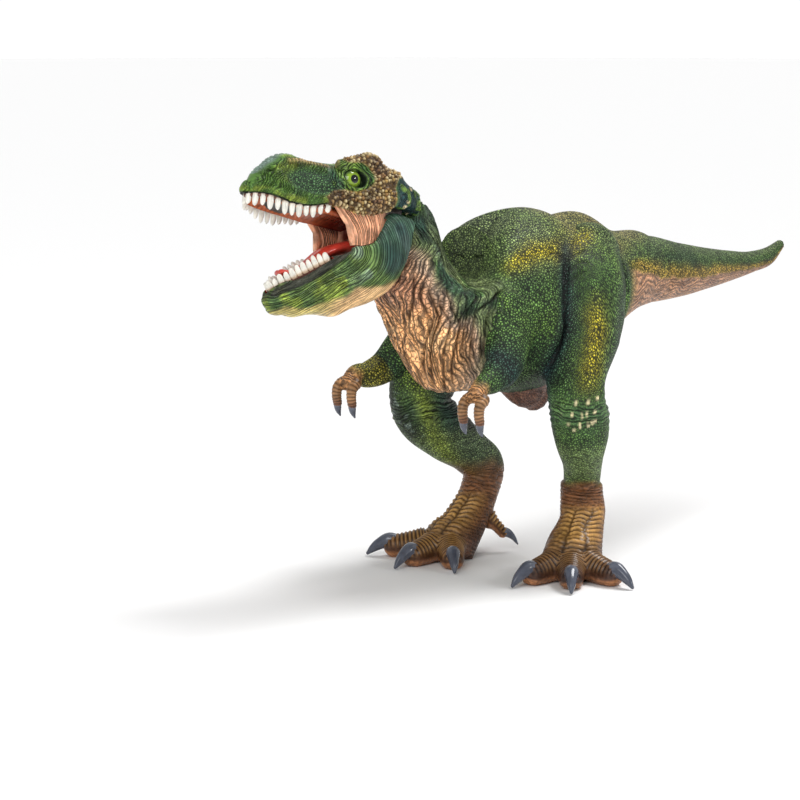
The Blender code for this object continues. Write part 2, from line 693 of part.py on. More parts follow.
def core_prism(name, parent, grow=0.0):
    """A round core about the pin's axis, with a bridge up to the skull."""
    along, up = HINGE_SHARES[0] * HEAD_LENGTH, HINGE_SHARES[1] * HEAD_HEIGHT
    radius = HINGE_CORE_DIAMETER / 2 + grow
    rear = CORE_BRIDGE_SHARES[0] * HEAD_LENGTH - grow
    top = CORE_BRIDGE_SHARES[1] * HEAD_HEIGHT + grow
    lean = math.acos(min(1.0, (along - rear) / radius))
    turns = np.linspace(math.pi - lean, math.radians(360.0), 16)
    outline = [(along + radius * math.cos(turn), up + radius * math.sin(turn)) for turn in turns]
    outline += [(along + radius, top), (rear, top)]
    half = core_half() + grow
    return piece(name, prism(name, outline, -half, half), parent, finish_of("head", 0.45))


def pin_rod(name, parent, grow=0.0):
    """A round rod on the jaw's axis, between the two hinge cheeks."""
    half = core_half() + FIT_GAP + PIN_REACH + grow
    turns = np.radians(360.0) * np.arange(20) / 20
    outline = [((PIN_DIAMETER / 2 + grow) * math.cos(turn), (PIN_DIAMETER / 2 + grow) * math.sin(turn))
               for turn in turns]
    return piece(name, prism(name, outline, -half, half), parent, finish_of("steel", 0.3, 1.0))


def eye_ball(name, parent, hand, grow=0.0):
    along, across, up = EYE_SHARES
    place = Vector((along * HEAD_LENGTH, hand * across * HEAD_WIDTH, up * HEAD_HEIGHT))
    ball = bmesh.new()
    bmesh.ops.create_uvsphere(ball, u_segments=12, v_segments=8, radius=EYE_DIAMETER / 2 + grow)
    bmesh.ops.translate(ball, verts=ball.verts, vec=place)
    return piece(name, closed_mesh(name, ball), parent, finish_of("eye", 0.08))


def mouth_line(rows, inset, start):
    """The line that runs inside a jaw's outline in plan, from its left rear round to its right."""
    fine = smooth_rows(rows, 8)
    turns = np.radians(90.0) * np.arange(1, 9) / 8
    reach = min(fine[-1, 3], fine[-1, 4])
    along = np.append(fine[:, 0], fine[-1, 0] + reach * np.sin(turns))
    across = np.append(fine[:, 3], fine[-1, 3] * np.cos(turns))
    step = np.stack([np.gradient(along), np.gradient(across)], axis=1)
    step /= np.linalg.norm(step, axis=1)[:, None]
    along = along + step[:, 1] * inset
    across = across - step[:, 0] * inset
    kept = (across > 0) & (along > start * HEAD_LENGTH)
    along, across = along[kept], across[kept]
    front = along.max() + across[-1] / 2
    places = np.column_stack([np.append(along, [front, *along[::-1]]),
                              np.append(across, [0.0, *-across[::-1]])])
    return places


def evenly(places, count):
    """Count places along a line, evenly spaced by length."""
    reach = np.append(0.0, np.cumsum(np.linalg.norm(np.diff(places, axis=0), axis=1)))
    wanted = np.linspace(0.0, reach[-1], count)
    return np.column_stack([np.interp(wanted, reach, column) for column in places.T])


def tooth_row(name, line, teeth, seat, crest, length, parent):
    """A gum strip from its seat to its crest, with one tapering tooth grown from each length of it."""
    line = evenly(line, teeth + 1)
    step = np.gradient(line, axis=0)
    step /= np.linalg.norm(step, axis=1)[:, None]
    aside = np.column_stack([-step[:, 1], step[:, 0]]) * GUM_WIDTH / 2
    rise = 1.0 if crest > seat else -1.0
    strip = bmesh.new()
    loops = []
    for place, out in zip(line, aside):
        corners = ((place - out, seat), (place + out, seat), (place + out, crest), (place - out, crest))
        loops.append([strip.verts.new((*xy, z)) for xy, z in corners])
    strip.faces.new(loops[0])
    strip.faces.new(loops[-1])
    for near, far in zip(loops, loops[1:]):
        for a, b in ((0, 1), (1, 2), (3, 0)):
            strip.faces.new((near[a], near[b], far[b], far[a]))
        ring = [near[2], near[3], far[3], far[2]]
        middle = sum((vert.co for vert in ring), Vector()) / 4
        corners = [vert.co - middle for vert in ring]
        for tall, wide in TOOTH_TAPER_SHARES:
            lift = Vector((0.0, 0.0, rise * length * tall))
            after = [strip.verts.new(middle + corner * wide + lift) for corner in corners]
            for k in range(4):
                strip.faces.new((ring[k - 1], ring[k], after[k], after[k - 1]))
            ring = after
        strip.faces.new(ring)
    return piece(name, closed_mesh(name, strip), parent, finish_of("tooth", 0.25))


def slab(name, places, low, high, parent):
    """A level plate with its outline in plan."""
    rings = [np.column_stack([places, np.full(len(places), level)]) for level in (low, high)]
    return piece(name, ring_mesh(name, rings, (False, False)), parent, finish_of("flesh", 0.4))


def palate_outline(inset, rear):
    """The plan outline of the roof of the mouth: the tooth line, carried back to the throat."""
    line = evenly(mouth_line(skull_rows(), LIP_WALL + inset, UPPER_START_SHARE), 27)
    half = min(line[0][1], PALATE_SHARES[1] * HEAD_WIDTH)
    back = rear * HEAD_LENGTH
    return np.vstack([[(back, half - inset + LIP_WALL)], line, [(back, -half + inset - LIP_WALL)]])


def gum_seat():
    return GUM_SEAT_SHARE * HEAD_HEIGHT


def cheek_plate(name, parent, hand):
    """One side wall of the mouth, wide at its rear and drawn in towards its front."""
    rear, front = (share * HEAD_WIDTH for share in CHEEK_SPREAD_SHARES)
    rings = []
    for inset in (0.0, CHEEK_WALL):
        ring = []
        for along, up in CHEEK_SHARES:
            out = rear + (front - rear) * along / CHEEK_SHARES[3][0] - inset
            ring.append((along * HEAD_LENGTH, hand * out, up * HEAD_HEIGHT))
        rings.append(np.array(ring))
    return piece(name, ring_mesh(name, rings, (False, False)), parent, finish_of("flesh", 0.4))


def make_skull(skull_frame, root):
    """The upper head: snout, cheeks and brows, and the core between the jaw's hinge cheeks."""
    skin = finish_of("head", 0.45)
    mesh = tube("skull", skull_rows(), 24, 2, power=SKULL_POWERS, egg=SKULL_EGG_SHARE, side=LEFT,
                upright=AHEAD, domes=(0, 1))
    skull = piece("skull", mesh, skull_frame, skin)
    for hand in (1.0, -1.0):
        brow = scaled(BROW_SHARES, HEAD_LENGTH, hand * HEAD_WIDTH, HEAD_HEIGHT, BROW_THICKNESS,
                      BROW_THICKNESS)
        join(skull, piece("brow", tube("brow", brow, 10, 2, side=LEFT, domes=(1, 1)), skull_frame, skin))
    for name, hand in (("left_eye", 1.0), ("right_eye", -1.0)):
        cut(skull, eye_ball("socket", skull_frame, hand, FIT_GAP))
        eye_ball(name, skull_frame, hand)
    jaw_frame = bpy.data.objects["jaw_hinge"]
    for turn in (0.0, JAW_CLOSING):
        swept = jaw_tube("swept", jaw_frame, grow=FIT_GAP)
        swept.rotation_euler = (0.0, math.radians(-turn), 0.0)
        cut(skull, swept)
    cut(skull, trunk_tube("socket", root, FIT_GAP))
    join(skull, core_prism("core", skull_frame))
    cut(skull, pin_rod("bore", jaw_frame, PIN_CLEARANCE))
    gap = gum_seat() + FIT_GAP
    recess = palate_outline(0.0, PALATE_SHARES[0] - FIT_GAP / HEAD_LENGTH)
    cut(skull, slab("recess", recess, gap - HEAD_HEIGHT, gap, skull_frame))
    return skull


def make_lining(skull_frame):
    """The flesh-coloured roof of the mouth, its two cheek walls and the throat's rear wall."""
    inset = GUM_WIDTH + FIT_GAP + FIT_GAP
    top = gum_seat()
    lining = slab("mouth_lining", palate_outline(inset, PALATE_SHARES[0]), top - PALATE_THICKNESS, top,
                  skull_frame)
    for hand in (1.0, -1.0):
        join(lining, cheek_plate("cheek", skull_frame, hand))
    outline = [(along * HEAD_LENGTH, up * HEAD_HEIGHT) for along, up in THROAT_SHARES]
    half = CHEEK_SPREAD_SHARES[0] * HEAD_WIDTH - CHEEK_WALL
    join(lining, piece("throat", prism("throat", outline, -half, half), skull_frame, None))
    cut(lining, core_prism("core", skull_frame, FIT_GAP))
    return lining


def make_jaw(jaw_frame):
    """The lower jaw: a trough whose rear is open between two hinge cheeks."""
    jaw = jaw_tube("lower_jaw", jaw_frame)
    table = np.array(JAW_TROUGH_SHARES)
    outer = smooth_rows(jaw_rows(), 8)
    half = np.interp(table[:, 0] * JAW_LENGTH, outer[:, 0], outer[:, 3]) - JAW_WALL
    half -= table[:, 3] * (GUM_WIDTH + FIT_GAP)
    table[:, 3] = half / JAW_WIDTH
    rows = head_rows(table, JAW_LENGTH, JAW_DEPTH, JAW_WIDTH)
    trough = tube("trough", rows, 16, 1, power=TROUGH_POWERS, side=LEFT, upright=AHEAD, domes=(0, 1))
    cut(jaw, piece("trough", trough, jaw_frame, None))
    shelf = LOWER_GUM_SHARE * JAW_DEPTH - GUM_HEIGHT - FIT_GAP
    room = mouth_line(jaw_rows(), JAW_WALL, LOWER_START_SHARE - FIT_GAP / JAW_LENGTH)
    cut(jaw, slab("shelf", room, shelf, shelf + JAW_DEPTH, jaw_frame))
    free = core_half() + FIT_GAP
    rear = [(-JAW_LENGTH, -JAW_DEPTH), (JAW_FLOOR_SHARE * JAW_LENGTH, -JAW_DEPTH),
            (JAW_FLOOR_SHARE * JAW_LENGTH, JAW_DEPTH), (-JAW_LENGTH, JAW_DEPTH)]
    cut(jaw, piece("rear", prism("rear", rear, -free, free), jaw_frame, None))
    cut(jaw, pin_rod("bore", jaw_frame, PIN_CLEARANCE))
    pin_rod("jaw_pin", jaw_frame)
    table = scaled(TONGUE_SHARES, JAW_LENGTH, JAW_DEPTH, TONGUE_WIDTH, TONGUE_THICKNESS)
    rows = np.insert(table, 1, 0.0, axis=1)
    tongue = tube("tongue", rows, 14, 2, side=LEFT, domes=(2, 2))
    piece("tongue", tongue, jaw_frame, finish_of("tongue", 0.3))
    return jaw


def stand_on_origin(root):
    """Moves the figure so that the middle of its box's underside is the origin."""
    bpy.context.view_layer.update()
    places = np.array([item.matrix_world @ vert.co for item in bpy.data.objects
                       if item.type == "MESH" for vert in item.data.vertices])
    low, high = places.min(axis=0), places.max(axis=0)
    middle = (low + high) / 2
    root.location = (-middle[0], -middle[1], -low[2])
    bpy.context.view_layer.update()


def build():
    clear_scene()
    root = empty("figure", None, Vector())
    trunk = make_trunk(root)
    make_tail(root, trunk)
    left_leg = make_leg("left", LEFT_LEG_SHARES, -1.0, LEFT_TOE_TURNS, LEFT_SPUR_TURN, root, trunk)
    right_leg = make_leg("right", RIGHT_LEG_SHARES, 1.0, RIGHT_TOE_TURNS, RIGHT_SPUR_TURN, root, trunk)
    make_arm("left", LEFT_ARM_SHARES, -1.0, root, trunk, left_leg)
    make_arm("right", RIGHT_ARM_SHARES, 1.0, root, trunk, right_leg)
    skull_frame, jaw_frame = head_frames(root)
    make_skull(skull_frame, root)
    make_lining(skull_frame)
    make_jaw(jaw_frame)
    crest = gum_seat() - GUM_HEIGHT
    upper = mouth_line(skull_rows(), LIP_WALL + FIT_GAP + GUM_WIDTH / 2, UPPER_START_SHARE)
    tooth_row("upper_teeth", upper, UPPER_TEETH, gum_seat(), crest, UPPER_TOOTH_LENGTH, skull_frame)
    crest = LOWER_GUM_SHARE * JAW_DEPTH
    lower = mouth_line(jaw_rows(), JAW_WALL + FIT_GAP + GUM_WIDTH / 2, LOWER_START_SHARE)
    tooth_row("lower_teeth", lower, LOWER_TEETH, crest - GUM_HEIGHT, crest, LOWER_TOOTH_LENGTH, jaw_frame)
    cut(trunk, core_prism("core_room", skull_frame, FIT_GAP))
    for turn in (0.0, JAW_CLOSING / 2, JAW_CLOSING):
        swept = jaw_tube("jaw_room", jaw_frame, FIT_GAP)
        swept.rotation_euler = (0.0, math.radians(-turn), 0.0)
        cut(trunk, swept)
    stand_on_origin(root)


build()
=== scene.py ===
"""Looks of a toy dinosaur figure: sculpted and hand-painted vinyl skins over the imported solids."""
import math

import bpy
import numpy as np
from mathutils import Matrix, Vector


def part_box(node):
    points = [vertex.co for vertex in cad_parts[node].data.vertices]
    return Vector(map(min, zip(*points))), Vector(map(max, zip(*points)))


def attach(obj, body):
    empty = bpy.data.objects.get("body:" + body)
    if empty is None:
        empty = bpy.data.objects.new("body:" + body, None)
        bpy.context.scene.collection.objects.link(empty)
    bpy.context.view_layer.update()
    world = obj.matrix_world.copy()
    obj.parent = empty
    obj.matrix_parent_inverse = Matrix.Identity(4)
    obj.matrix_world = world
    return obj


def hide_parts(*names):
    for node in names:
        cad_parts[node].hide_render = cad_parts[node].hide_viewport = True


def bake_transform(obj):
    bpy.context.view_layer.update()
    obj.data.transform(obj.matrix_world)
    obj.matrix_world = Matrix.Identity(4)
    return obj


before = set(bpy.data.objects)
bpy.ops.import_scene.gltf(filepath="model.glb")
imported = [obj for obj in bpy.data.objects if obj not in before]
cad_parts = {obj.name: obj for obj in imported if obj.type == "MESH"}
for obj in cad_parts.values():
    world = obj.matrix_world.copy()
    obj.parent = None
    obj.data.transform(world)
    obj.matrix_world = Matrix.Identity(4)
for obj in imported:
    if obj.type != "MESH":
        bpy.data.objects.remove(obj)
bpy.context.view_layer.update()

# Units and places, in mm, in the figure's own frame: X = 0 at the hips, head towards -X, floor at Z = 0
MM = 0.001
# What the tables' shares are shares of: places along, across and up, then half widths and half depths
BODY = (100.0, 50.0, 100.0, 50.0, 56.0)
TAIL = (110.0, 22.0, 6.0, 22.0, 22.0)
LIMB = 40.0
ARM = 12.0
HEAD = (50.0, 25.0, 20.0)
HEAD_CENTRE = (-95.0, 0.5, 115.0)
HEAD_YAW, HEAD_ROLL, SKULL_PITCH, JAW_DROP = 10.0, 13.0, 15.0, 35.0
PIN_IN_SKULL = (-3.15, 0.0, -4.5)
# How many points are compared with a tube at a time, to keep the arrays small
CHUNK = 6000

# Neck and trunk, head end last: place along, across and up, half width, half depth, as shares
TRUNK_SHARES = (
    (0.34, 0.02, 0.908, 0.225, 0.197),
    (0.18, 0.00, 0.917, 0.290, 0.262),
    (0.02, 0.00, 0.912, 0.360, 0.393),
    (-0.14, 0.00, 0.866, 0.410, 0.470),
    (-0.30, 0.00, 0.862, 0.460, 0.514),
    (-0.45, 0.00, 0.856, 0.480, 0.496),
    (-0.57, 0.00, 0.852, 0.440, 0.440),
    (-0.69, 0.00, 0.905, 0.345, 0.325),
    (-0.79, 0.00, 1.012, 0.285, 0.275),
    (-0.86, 0.00, 1.085, 0.250, 0.225),
    (-0.92, 0.00, 1.118, 0.185, 0.165),
)
BULGE_SHARES = (
    (-0.325, 0.00, 0.630, 0.12, 0.11),
    (-0.27, 0.00, 0.578, 0.13, 0.12),
    (-0.215, 0.00, 0.538, 0.09, 0.085),
)
TAIL_SHARES = (
    (-0.04, -0.02, 0.0, 0.50, 0.49),
    (0.0, 0.0, 0.0, 0.51, 0.50),
    (0.19, 0.14, -0.25, 0.44, 0.43),
    (0.39, 0.38, -0.47, 0.345, 0.34),
    (0.58, 0.59, -0.60, 0.255, 0.255),
    (0.77, 0.80, -0.63, 0.172, 0.177),
    (0.90, 0.91, -0.42, 0.125, 0.150),
    (0.985, 0.99, 0.14, 0.075, 0.085),
)
LEFT_LEG_SHARES = (
    (-0.07, 0.27, 1.040, 0.13, 0.22, 0.0),
    (-0.12, 0.30, 0.930, 0.28, 0.41, 0.0),
    (-0.235, 0.42, 0.760, 0.31, 0.37, 10.0),
    (-0.32, 0.55, 0.630, 0.25, 0.29, 20.0),
    (-0.345, 0.60, 0.560, 0.240, 0.255, 26.0),
    (-0.295, 0.55, 0.450, 0.225, 0.25, 32.0),
    (-0.215, 0.43, 0.340, 0.170, 0.175, 36.0),
    (-0.18, 0.36, 0.255, 0.160, 0.165, 40.0),
    (-0.21, 0.41, 0.160, 0.172, 0.158, 42.0),
    (-0.28, 0.465, 0.085, 0.225, 0.185, 42.0),
    (-0.31, 0.49, 0.030, 0.250, 0.210, 42.0),
)
RIGHT_LEG_SHARES = (
    (-0.06, 0.27, 1.010, 0.13, 0.24, 0.0),
    (-0.12, 0.30, 0.910, 0.28, 0.46, 0.0),
    (-0.30, 0.42, 0.730, 0.30, 0.40, 0.0),
    (-0.455, 0.52, 0.600, 0.24, 0.31, 2.0),
    (-0.465, 0.54, 0.520, 0.230, 0.27, 2.0),
    (-0.36, 0.51, 0.405, 0.215, 0.235, 2.0),
    (-0.265, 0.47, 0.330, 0.170, 0.185, 2.0),
    (-0.215, 0.45, 0.280, 0.158, 0.185, 2.0),
    (-0.245, 0.44, 0.190, 0.160, 0.160, 2.0),
    (-0.31, 0.44, 0.105, 0.195, 0.168, 2.0),
    (-0.385, 0.44, 0.030, 0.235, 0.195, 2.0),
)
LEFT_ARM_SHARES = (
    (-0.530, 0.36, 0.86, 0.40, 0.66),
    (-0.575, 0.43, 0.77, 0.42, 0.66),
    (-0.632, 0.48, 0.70, 0.40, 0.54),
    (-0.690, 0.50, 0.665, 0.32, 0.36),
    (-0.745, 0.52, 0.650, 0.26, 0.25),
    (-0.775, 0.53, 0.630, 0.24, 0.22),
)
RIGHT_ARM_SHARES = (
    (-0.535, 0.40, 0.80, 0.40, 0.60),
    (-0.570, 0.50, 0.71, 0.42, 0.54),
    (-0.610, 0.58, 0.645, 0.40, 0.44),
    (-0.680, 0.60, 0.625, 0.34, 0.35),
    (-0.725, 0.61, 0.630, 0.26, 0.25),
    (-0.752, 0.61, 0.605, 0.24, 0.22),
)
TOE_SHARES = (
    (0.10, 1.75, 1.05, 1.25),
    (0.40, 1.20, 1.0, 1.12),
    (0.72, 0.92, 0.95, 1.0),
    (0.95, 0.82, 0.86, 0.88),
)
CLAW_SHARES = ((0.0, 1.20, 0.72, 0.72), (0.30, 1.25, 0.92, 1.0), (0.58, 0.98, 0.72, 0.80),
               (0.80, 0.60, 0.50, 0.55), (0.96, 0.22, 0.20, 0.22))
SPUR_SHARES = ((0.0, 0.0, 1.25), (0.42, -0.22, 1.0), (0.75, -0.52, 0.95), (0.95, -0.74, 0.90))
SPUR_CLAW_SHARES = ((-0.25, 0.15, 0.8), (0.25, 0.0, 1.0), (0.70, -0.35, 0.6), (1.0, -0.80, 0.14))
FINGER_SHARES = ((0.0, 0.0, 1.05), (0.28, 0.22, 1.0), (0.36, 0.60, 0.95), (0.30, 1.0, 0.88))
FINGER_CLAW_SHARES = ((0.0, -0.25, 0.85), (0.0, 0.20, 1.0), (-0.10, 0.65, 0.7), (-0.28, 1.0, 0.2))
TOE_LENGTH, TOE_WIDTH, TOE_HEIGHT = 18.5, 8.8, 8.6
CLAW_LENGTH, CLAW_WIDTH = 8.5, 5.0
SPUR_LENGTH, SPUR_WIDTH, SPUR_CLAW_LENGTH, SPUR_CLAW_WIDTH = 11.0, 4.2, 5.0, 3.0
FINGER_LENGTH, FINGER_WIDTH, FINGER_CLAW_LENGTH, FINGER_CLAW_WIDTH = 6.4, 3.4, 4.2, 2.4
TOE_TURNS = {"left": (-2.0, 41.0, 86.0), "right": (48.0, 4.0, -48.0)}
SPUR_TURNS = {"left": -125.0, "right": 135.0}
FOOT_TURNS = {"left": 42.0, "right": 2.0}

# Head: place along, top, bottom and half width, as shares
SKULL_SHARES = (
    (-0.20, 0.500, 0.080, 0.428),
    (-0.10, 0.620, 0.075, 0.486),
    (0.02, 0.710, -0.010, 0.508),
    (0.14, 0.730, -0.110, 0.504),
    (0.26, 0.670, -0.160, 0.464),
    (0.34, 0.620, -0.210, 0.432),
    (0.52, 0.570, -0.225, 0.376),
    (0.66, 0.530, -0.225, 0.340),
    (0.76, 0.440, -0.220, 0.290),
    (0.82, 0.340, -0.215, 0.225),
    (0.86, 0.210, -0.205, 0.140),
    (0.88, 0.100, -0.190, 0.070),
)
JAW_SHARES = (
    (-0.12, 0.08, -0.15, 0.456),
    (-0.06, 0.24, -0.40, 0.484),
    (0.01, 0.30, -0.60, 0.496),
    (0.10, 0.18, -0.74, 0.496),
    (0.20, 0.05, -0.81, 0.476),
    (0.30, 0.12, -0.81, 0.436),
    (0.42, 0.13, -0.75, 0.388),
    (0.56, 0.08, -0.65, 0.336),
    (0.68, 0.05, -0.55, 0.288),
    (0.775, 0.06, -0.48, 0.240),
    (0.83, 0.05, -0.38, 0.170),
)
# Brow ridges in the skull's frame, in mm: place, half width and half depth
BROW_ROWS = (
    (16.5, 8.5, 10.8, 1.7, 1.8),
    (11.8, 9.0, 12.1, 2.5, 2.3),
    (7.3, 9.0, 13.5, 2.7, 2.5),
    (5.0, 9.0, 11.9, 2.5, 2.3),
    (1.5, 9.0, 10.3, 2.5, 2.3),
    (-1.6, 9.0, 10.5, 2.1, 2.1),
    (-3.1, 8.8, 8.4, 1.5, 1.5),
)
TONGUE_SHARES = (
    (0.16, 0.000, 0.40, 0.50),
    (0.28, 0.085, 0.50, 0.50),
    (0.42, 0.135, 0.54, 0.48),
    (0.53, 0.090, 0.50, 0.44),
    (0.61, 0.050, 0.46, 0.40),
    (0.68, 0.090, 0.40, 0.34),
    (0.735, 0.180, 0.30, 0.28),
)
# The jaw's trough: place along, top, floor, and how much of the gum's shelf it leaves
TROUGH_SHARES = (
    (0.04, 0.60, -0.58, 0.0),
    (0.16, 0.60, -0.57, 0.0),
    (0.30, 0.60, -0.50, 0.0),
    (0.41, 0.60, -0.41, 0.0),
    (0.48, 0.60, -0.34, 1.0),
    (0.56, 0.60, -0.28, 1.0),
    (0.68, 0.60, -0.22, 1.0),
    (0.775, 0.60, -0.18, 1.0),
)
GAP = 0.3
JAW_SWING, BORE_RADIUS = 24.0, 1.26
# Edges of a cut piece that turn by more than this many degrees stay sharp
SHARP_TURN = 62.0
SOLE_HEIGHT = 0.03
JAW_WALL, LIP_WALL = 2.0, 0.9
GUM_WIDTH, GUM_HEIGHT = 1.6, 2.0
GUM_SEAT, LOWER_GUM = -0.112 * HEAD[2], 0.05 * HEAD[2]
UPPER_START, LOWER_START = 0.36, 0.45
PALATE_START, PALATE_REAR = 0.07, 0.34
EYE_PLACE, EYE_RADIUS = (13.4, 8.0, 7.1), 3.7
# Lines on the head, in mm in the skull's frame or the jaw's, as places along and up
LIP_LINE = ((-1.8, 4.4, 9.0, 14.5, 19.5, 21.5, 24.4, 27.9, 32.2, 36.1, 39.8, 43.2, 45.5),
            (2.1, -1.1, -2.85, -1.6, -1.3, -2.2, -3.2, -3.9, -3.8, -3.0, -2.4, -2.1, -2.4))
BUMP_RIDGE = ((34.0, 6.0, 7.7), (29.8, 6.6, 9.0), (25.6, 6.9, 9.8), (20.8, 7.5, 10.5), (16.8, 8.6, 11.2))
KNOB_REGION = (
    (21.7, -0.2), (19.5, 2.3), (16.4, 2.8), (12.9, 3.0), (9.0, 4.4), (7.1, 7.0), (7.2, 9.4), (8.7, 11.5),
    (11.9, 12.2), (15.8, 11.6), (16.9, 12.2), (14.3, 17.3), (4.1, 19.1), (-6.5, 15.5), (-5.7, 12.7),
    (-1.2, 10.3), (0.0, 7.0), (-0.6, 3.2), (-0.4, 1.1), (-1.0, -4.0), (5.5, -6.4), (16.3, -6.6),
    (20.6, -2.0),
)
GROOVE_LINE = ((43.5, -0.4, 0.0), (37.6, -0.6, 0.0), (31.7, -0.5, 0.0), (25.4, 0.3, 0.0), (20.2, 0.9, 0.0),
               (17.6, 1.6, 0.0))
# Where the teeth start and end: places along and up
UPPER_ROOTS = ((18.0, 24.4, 27.9, 32.2, 36.1, 39.8, 43.2), (-0.6, -1.9, -2.5, -2.5, -1.8, -1.1, -0.9))
UPPER_TIPS = ((18.0, 20.0, 24.0, 28.0, 33.0, 38.0, 43.0), (-3.4, -4.6, -6.2, -7.2, -7.3, -6.4, -5.6))
LOWER_ROOTS = ((22.5, 40.0), (0.6, 0.3))
LOWER_TIPS = ((22.5, 26.0, 32.0, 38.0, 42.0), (3.6, 4.2, 3.9, 3.7, 3.2))
# The cheek membranes' edges, from the rear forward, in the skull's frame: along, across and up
CHEEK_STATIONS = (0.0, 0.2, 0.5, 0.8, 1.0)
CHEEK_TOP = ((-5.0, -0.5, 5.5, 12.5, 18.6), (9.12, 9.12, 9.1, 9.1, 9.0), (3.0, 1.8, 0.4, -0.6, -0.9))
CHEEK_BASE = ((-5.0, -1.0, 3.2, 7.4, 10.9), (9.12, 9.12, 9.1, 9.0, 8.7), (-2.0, -5.5, -9.6, -11.4, -11.9))


def linear(code):
    """A colour from its sRGB hex value, as linear light: straight near black, then a power of 2.4."""
    parts = [int(code[k:k + 2], 16) / 255 for k in (1, 3, 5)]
    return np.array([p / 12.92 if p <= 0.04045 else ((p + 0.055) / 1.055) ** 2.4 for p in parts])


# Paints, as sRGB hex values
PAINT = {name: linear(code) for name, code in {
    # Greens, teals and greys of the back, the flanks and the snout
    "green": "#4f7138", "deep": "#2d4a31", "bright": "#709440", "grey_green": "#7f9064", "teal": "#234043",
    "olive": "#8e8a35", "snout": "#4f7434", "rim": "#93a83e", "hollow": "#4b7049", "snout_grey": "#8aa097",
    # Yellows and tans of the marks, the chest, the knobs and the feet
    "yellow": "#aea327", "ochre": "#b5864b", "knob": "#bd9a58", "bar": "#c99b58", "cream": "#e0d3a8",
    "tan": "#c4976a", "tan_light": "#d8b183", "tan_grey": "#a58f7c", "pinkish": "#97705f", "pad": "#b07850",
    # Browns and near blacks
    "brown": "#7b5233", "dark_brown": "#3b2417", "red_brown": "#6a4030", "net_brown": "#5c382b",
    "plum": "#4b3532", "groove": "#33342f", "black": "#0e1013",
    # Eyes, claws and teeth
    "iris": "#9dbf2a", "claw": "#4e5361", "claw_pale": "#757a88", "bone": "#fbf8ec",
    # Flesh of the mouth
    "membrane": "#e0ab88", "pink": "#dba184", "palate": "#c66a40", "throat": "#5a130c",
    "tongue": "#e2493a", "gum": "#e0523f", "gum_dark": "#a83a2c",
}.items()}


# Small tools of shape: curves, tubes, noise and cells

def ramp(low, high, value):
    """0 at low and 1 at high, level beyond them, and 3 t^2 - 2 t^3 between. Low may be the larger."""
    t = np.clip((value - low) / (high - low), 0.0, 1.0)
    return t * t * (3 - 2 * t)


def bell(value, width):
    """1 where the value is 0, falling off on both sides as e to the minus square of value over width."""
    return np.exp(-((value / width) ** 2))


def unit(vectors):
    """Vectors brought to length 1."""
    return vectors / np.maximum(np.linalg.norm(vectors, axis=-1, keepdims=True), 1e-9)


def smooth_rows(rows, steps):
    """Rows read from a smooth curve through the given rows: a cubic in each span, whose slope at a
    row is the mean of its two chords, weighted by the other chord's length."""
    rows = np.array(rows, dtype=float)
    chords = np.diff(rows, axis=0)
    lengths = np.linalg.norm(chords[:, :3], axis=1)[:, None]
    slopes = chords / lengths
    inner = (slopes[:-1] * lengths[1:] + slopes[1:] * lengths[:-1]) / (lengths[1:] + lengths[:-1])
    tangents = np.vstack([slopes[:1], inner, slopes[-1:]])
    t = (np.arange(steps) / steps)[None, :, None]
    start, end = rows[:-1, None], rows[1:, None]
    leave, arrive = tangents[:-1, None] * lengths[:, None], tangents[1:, None] * lengths[:, None]
    fine = ((2 * t**3 - 3 * t**2 + 1) * start + (3 * t**2 - 2 * t**3) * end
            + (t**3 - 2 * t**2 + t) * leave + (t**3 - t**2) * arrive)
    return np.vstack([fine.reshape(-1, rows.shape[1]), rows[-1:]])


def lattice(cell, salt):
    """A number from 0 to 1 for each whole-number cell, always the same."""
    n = cell[..., 0] * 73856093 ^ cell[..., 1] * 19349663 ^ cell[..., 2] * 83492791 ^ (salt * 40503)
    n = (n ^ (n >> 13)) * 1274126177
    n = n ^ (n >> 16)
    return (n & 0xFFFFFF) / float(0x1000000)


def noise(points, size, salt=1):
    """Smooth noise from -1 to 1: corner values of a cubic lattice, eased between corners."""
    q = points / size
    base = np.floor(q).astype(np.int64)
    t = q - base
    t = t * t * (3 - 2 * t)
    total = 0.0
    for corner in np.ndindex(2, 2, 2):
        weight = np.prod(np.where(np.array(corner) == 1, t, 1 - t), axis=-1)
        total = total + weight * lattice(base + np.array(corner), salt)
    return total * 2 - 1


def cells(points, size, salt=1, flat=False):
    """The distances to the nearest and the next jittered cell centre, in cells, and a number from 0 to 1
    for the nearest cell."""
    q = points / size
    base = np.floor(q).astype(np.int64)
    first = np.full(q.shape[:-1], 9.0)
    second = first.copy()
    mark = first.copy()
    for offset in np.ndindex(3, 3, 1 if flat else 3):
        cell = base + np.array(offset) - np.array((1, 1, 0 if flat else 1))
        jitter = np.stack([lattice(cell, salt + k) for k in (0, 7, 13)], axis=-1) * 0.8 + 0.1
        gap = cell + jitter - q
        if flat:
            gap[..., 2] = 0.0
        reach = np.sqrt((gap**2).sum(-1))
        nearer = reach < first
        second = np.where(nearer, first, np.minimum(second, reach))
        mark = np.where(nearer, lattice(cell, salt + 29), mark)
        first = np.where(nearer, reach, first)
    return first, second, mark


def plane(x, y):
    """Two pattern coordinates as points on a plane."""
    return np.stack([x, y, np.zeros_like(x)], axis=-1)


def stroke(points, line):
    """How far points are from a line of straight runs, and how far along it, from 0 to 1."""
    line = np.array(line, dtype=float)
    best = np.full(points.shape[:-1], 1e9)
    along = np.zeros_like(best)
    for k, (a, b) in enumerate(zip(line, line[1:])):
        run = b - a
        t = np.clip(((points - a) @ run) / (run @ run), 0, 1)
        gap = np.sqrt(((points - a - t[..., None] * run) ** 2).sum(-1))
        along = np.where(gap < best, (k + t) / (len(line) - 1), along)
        best = np.minimum(best, gap)
    return best, along


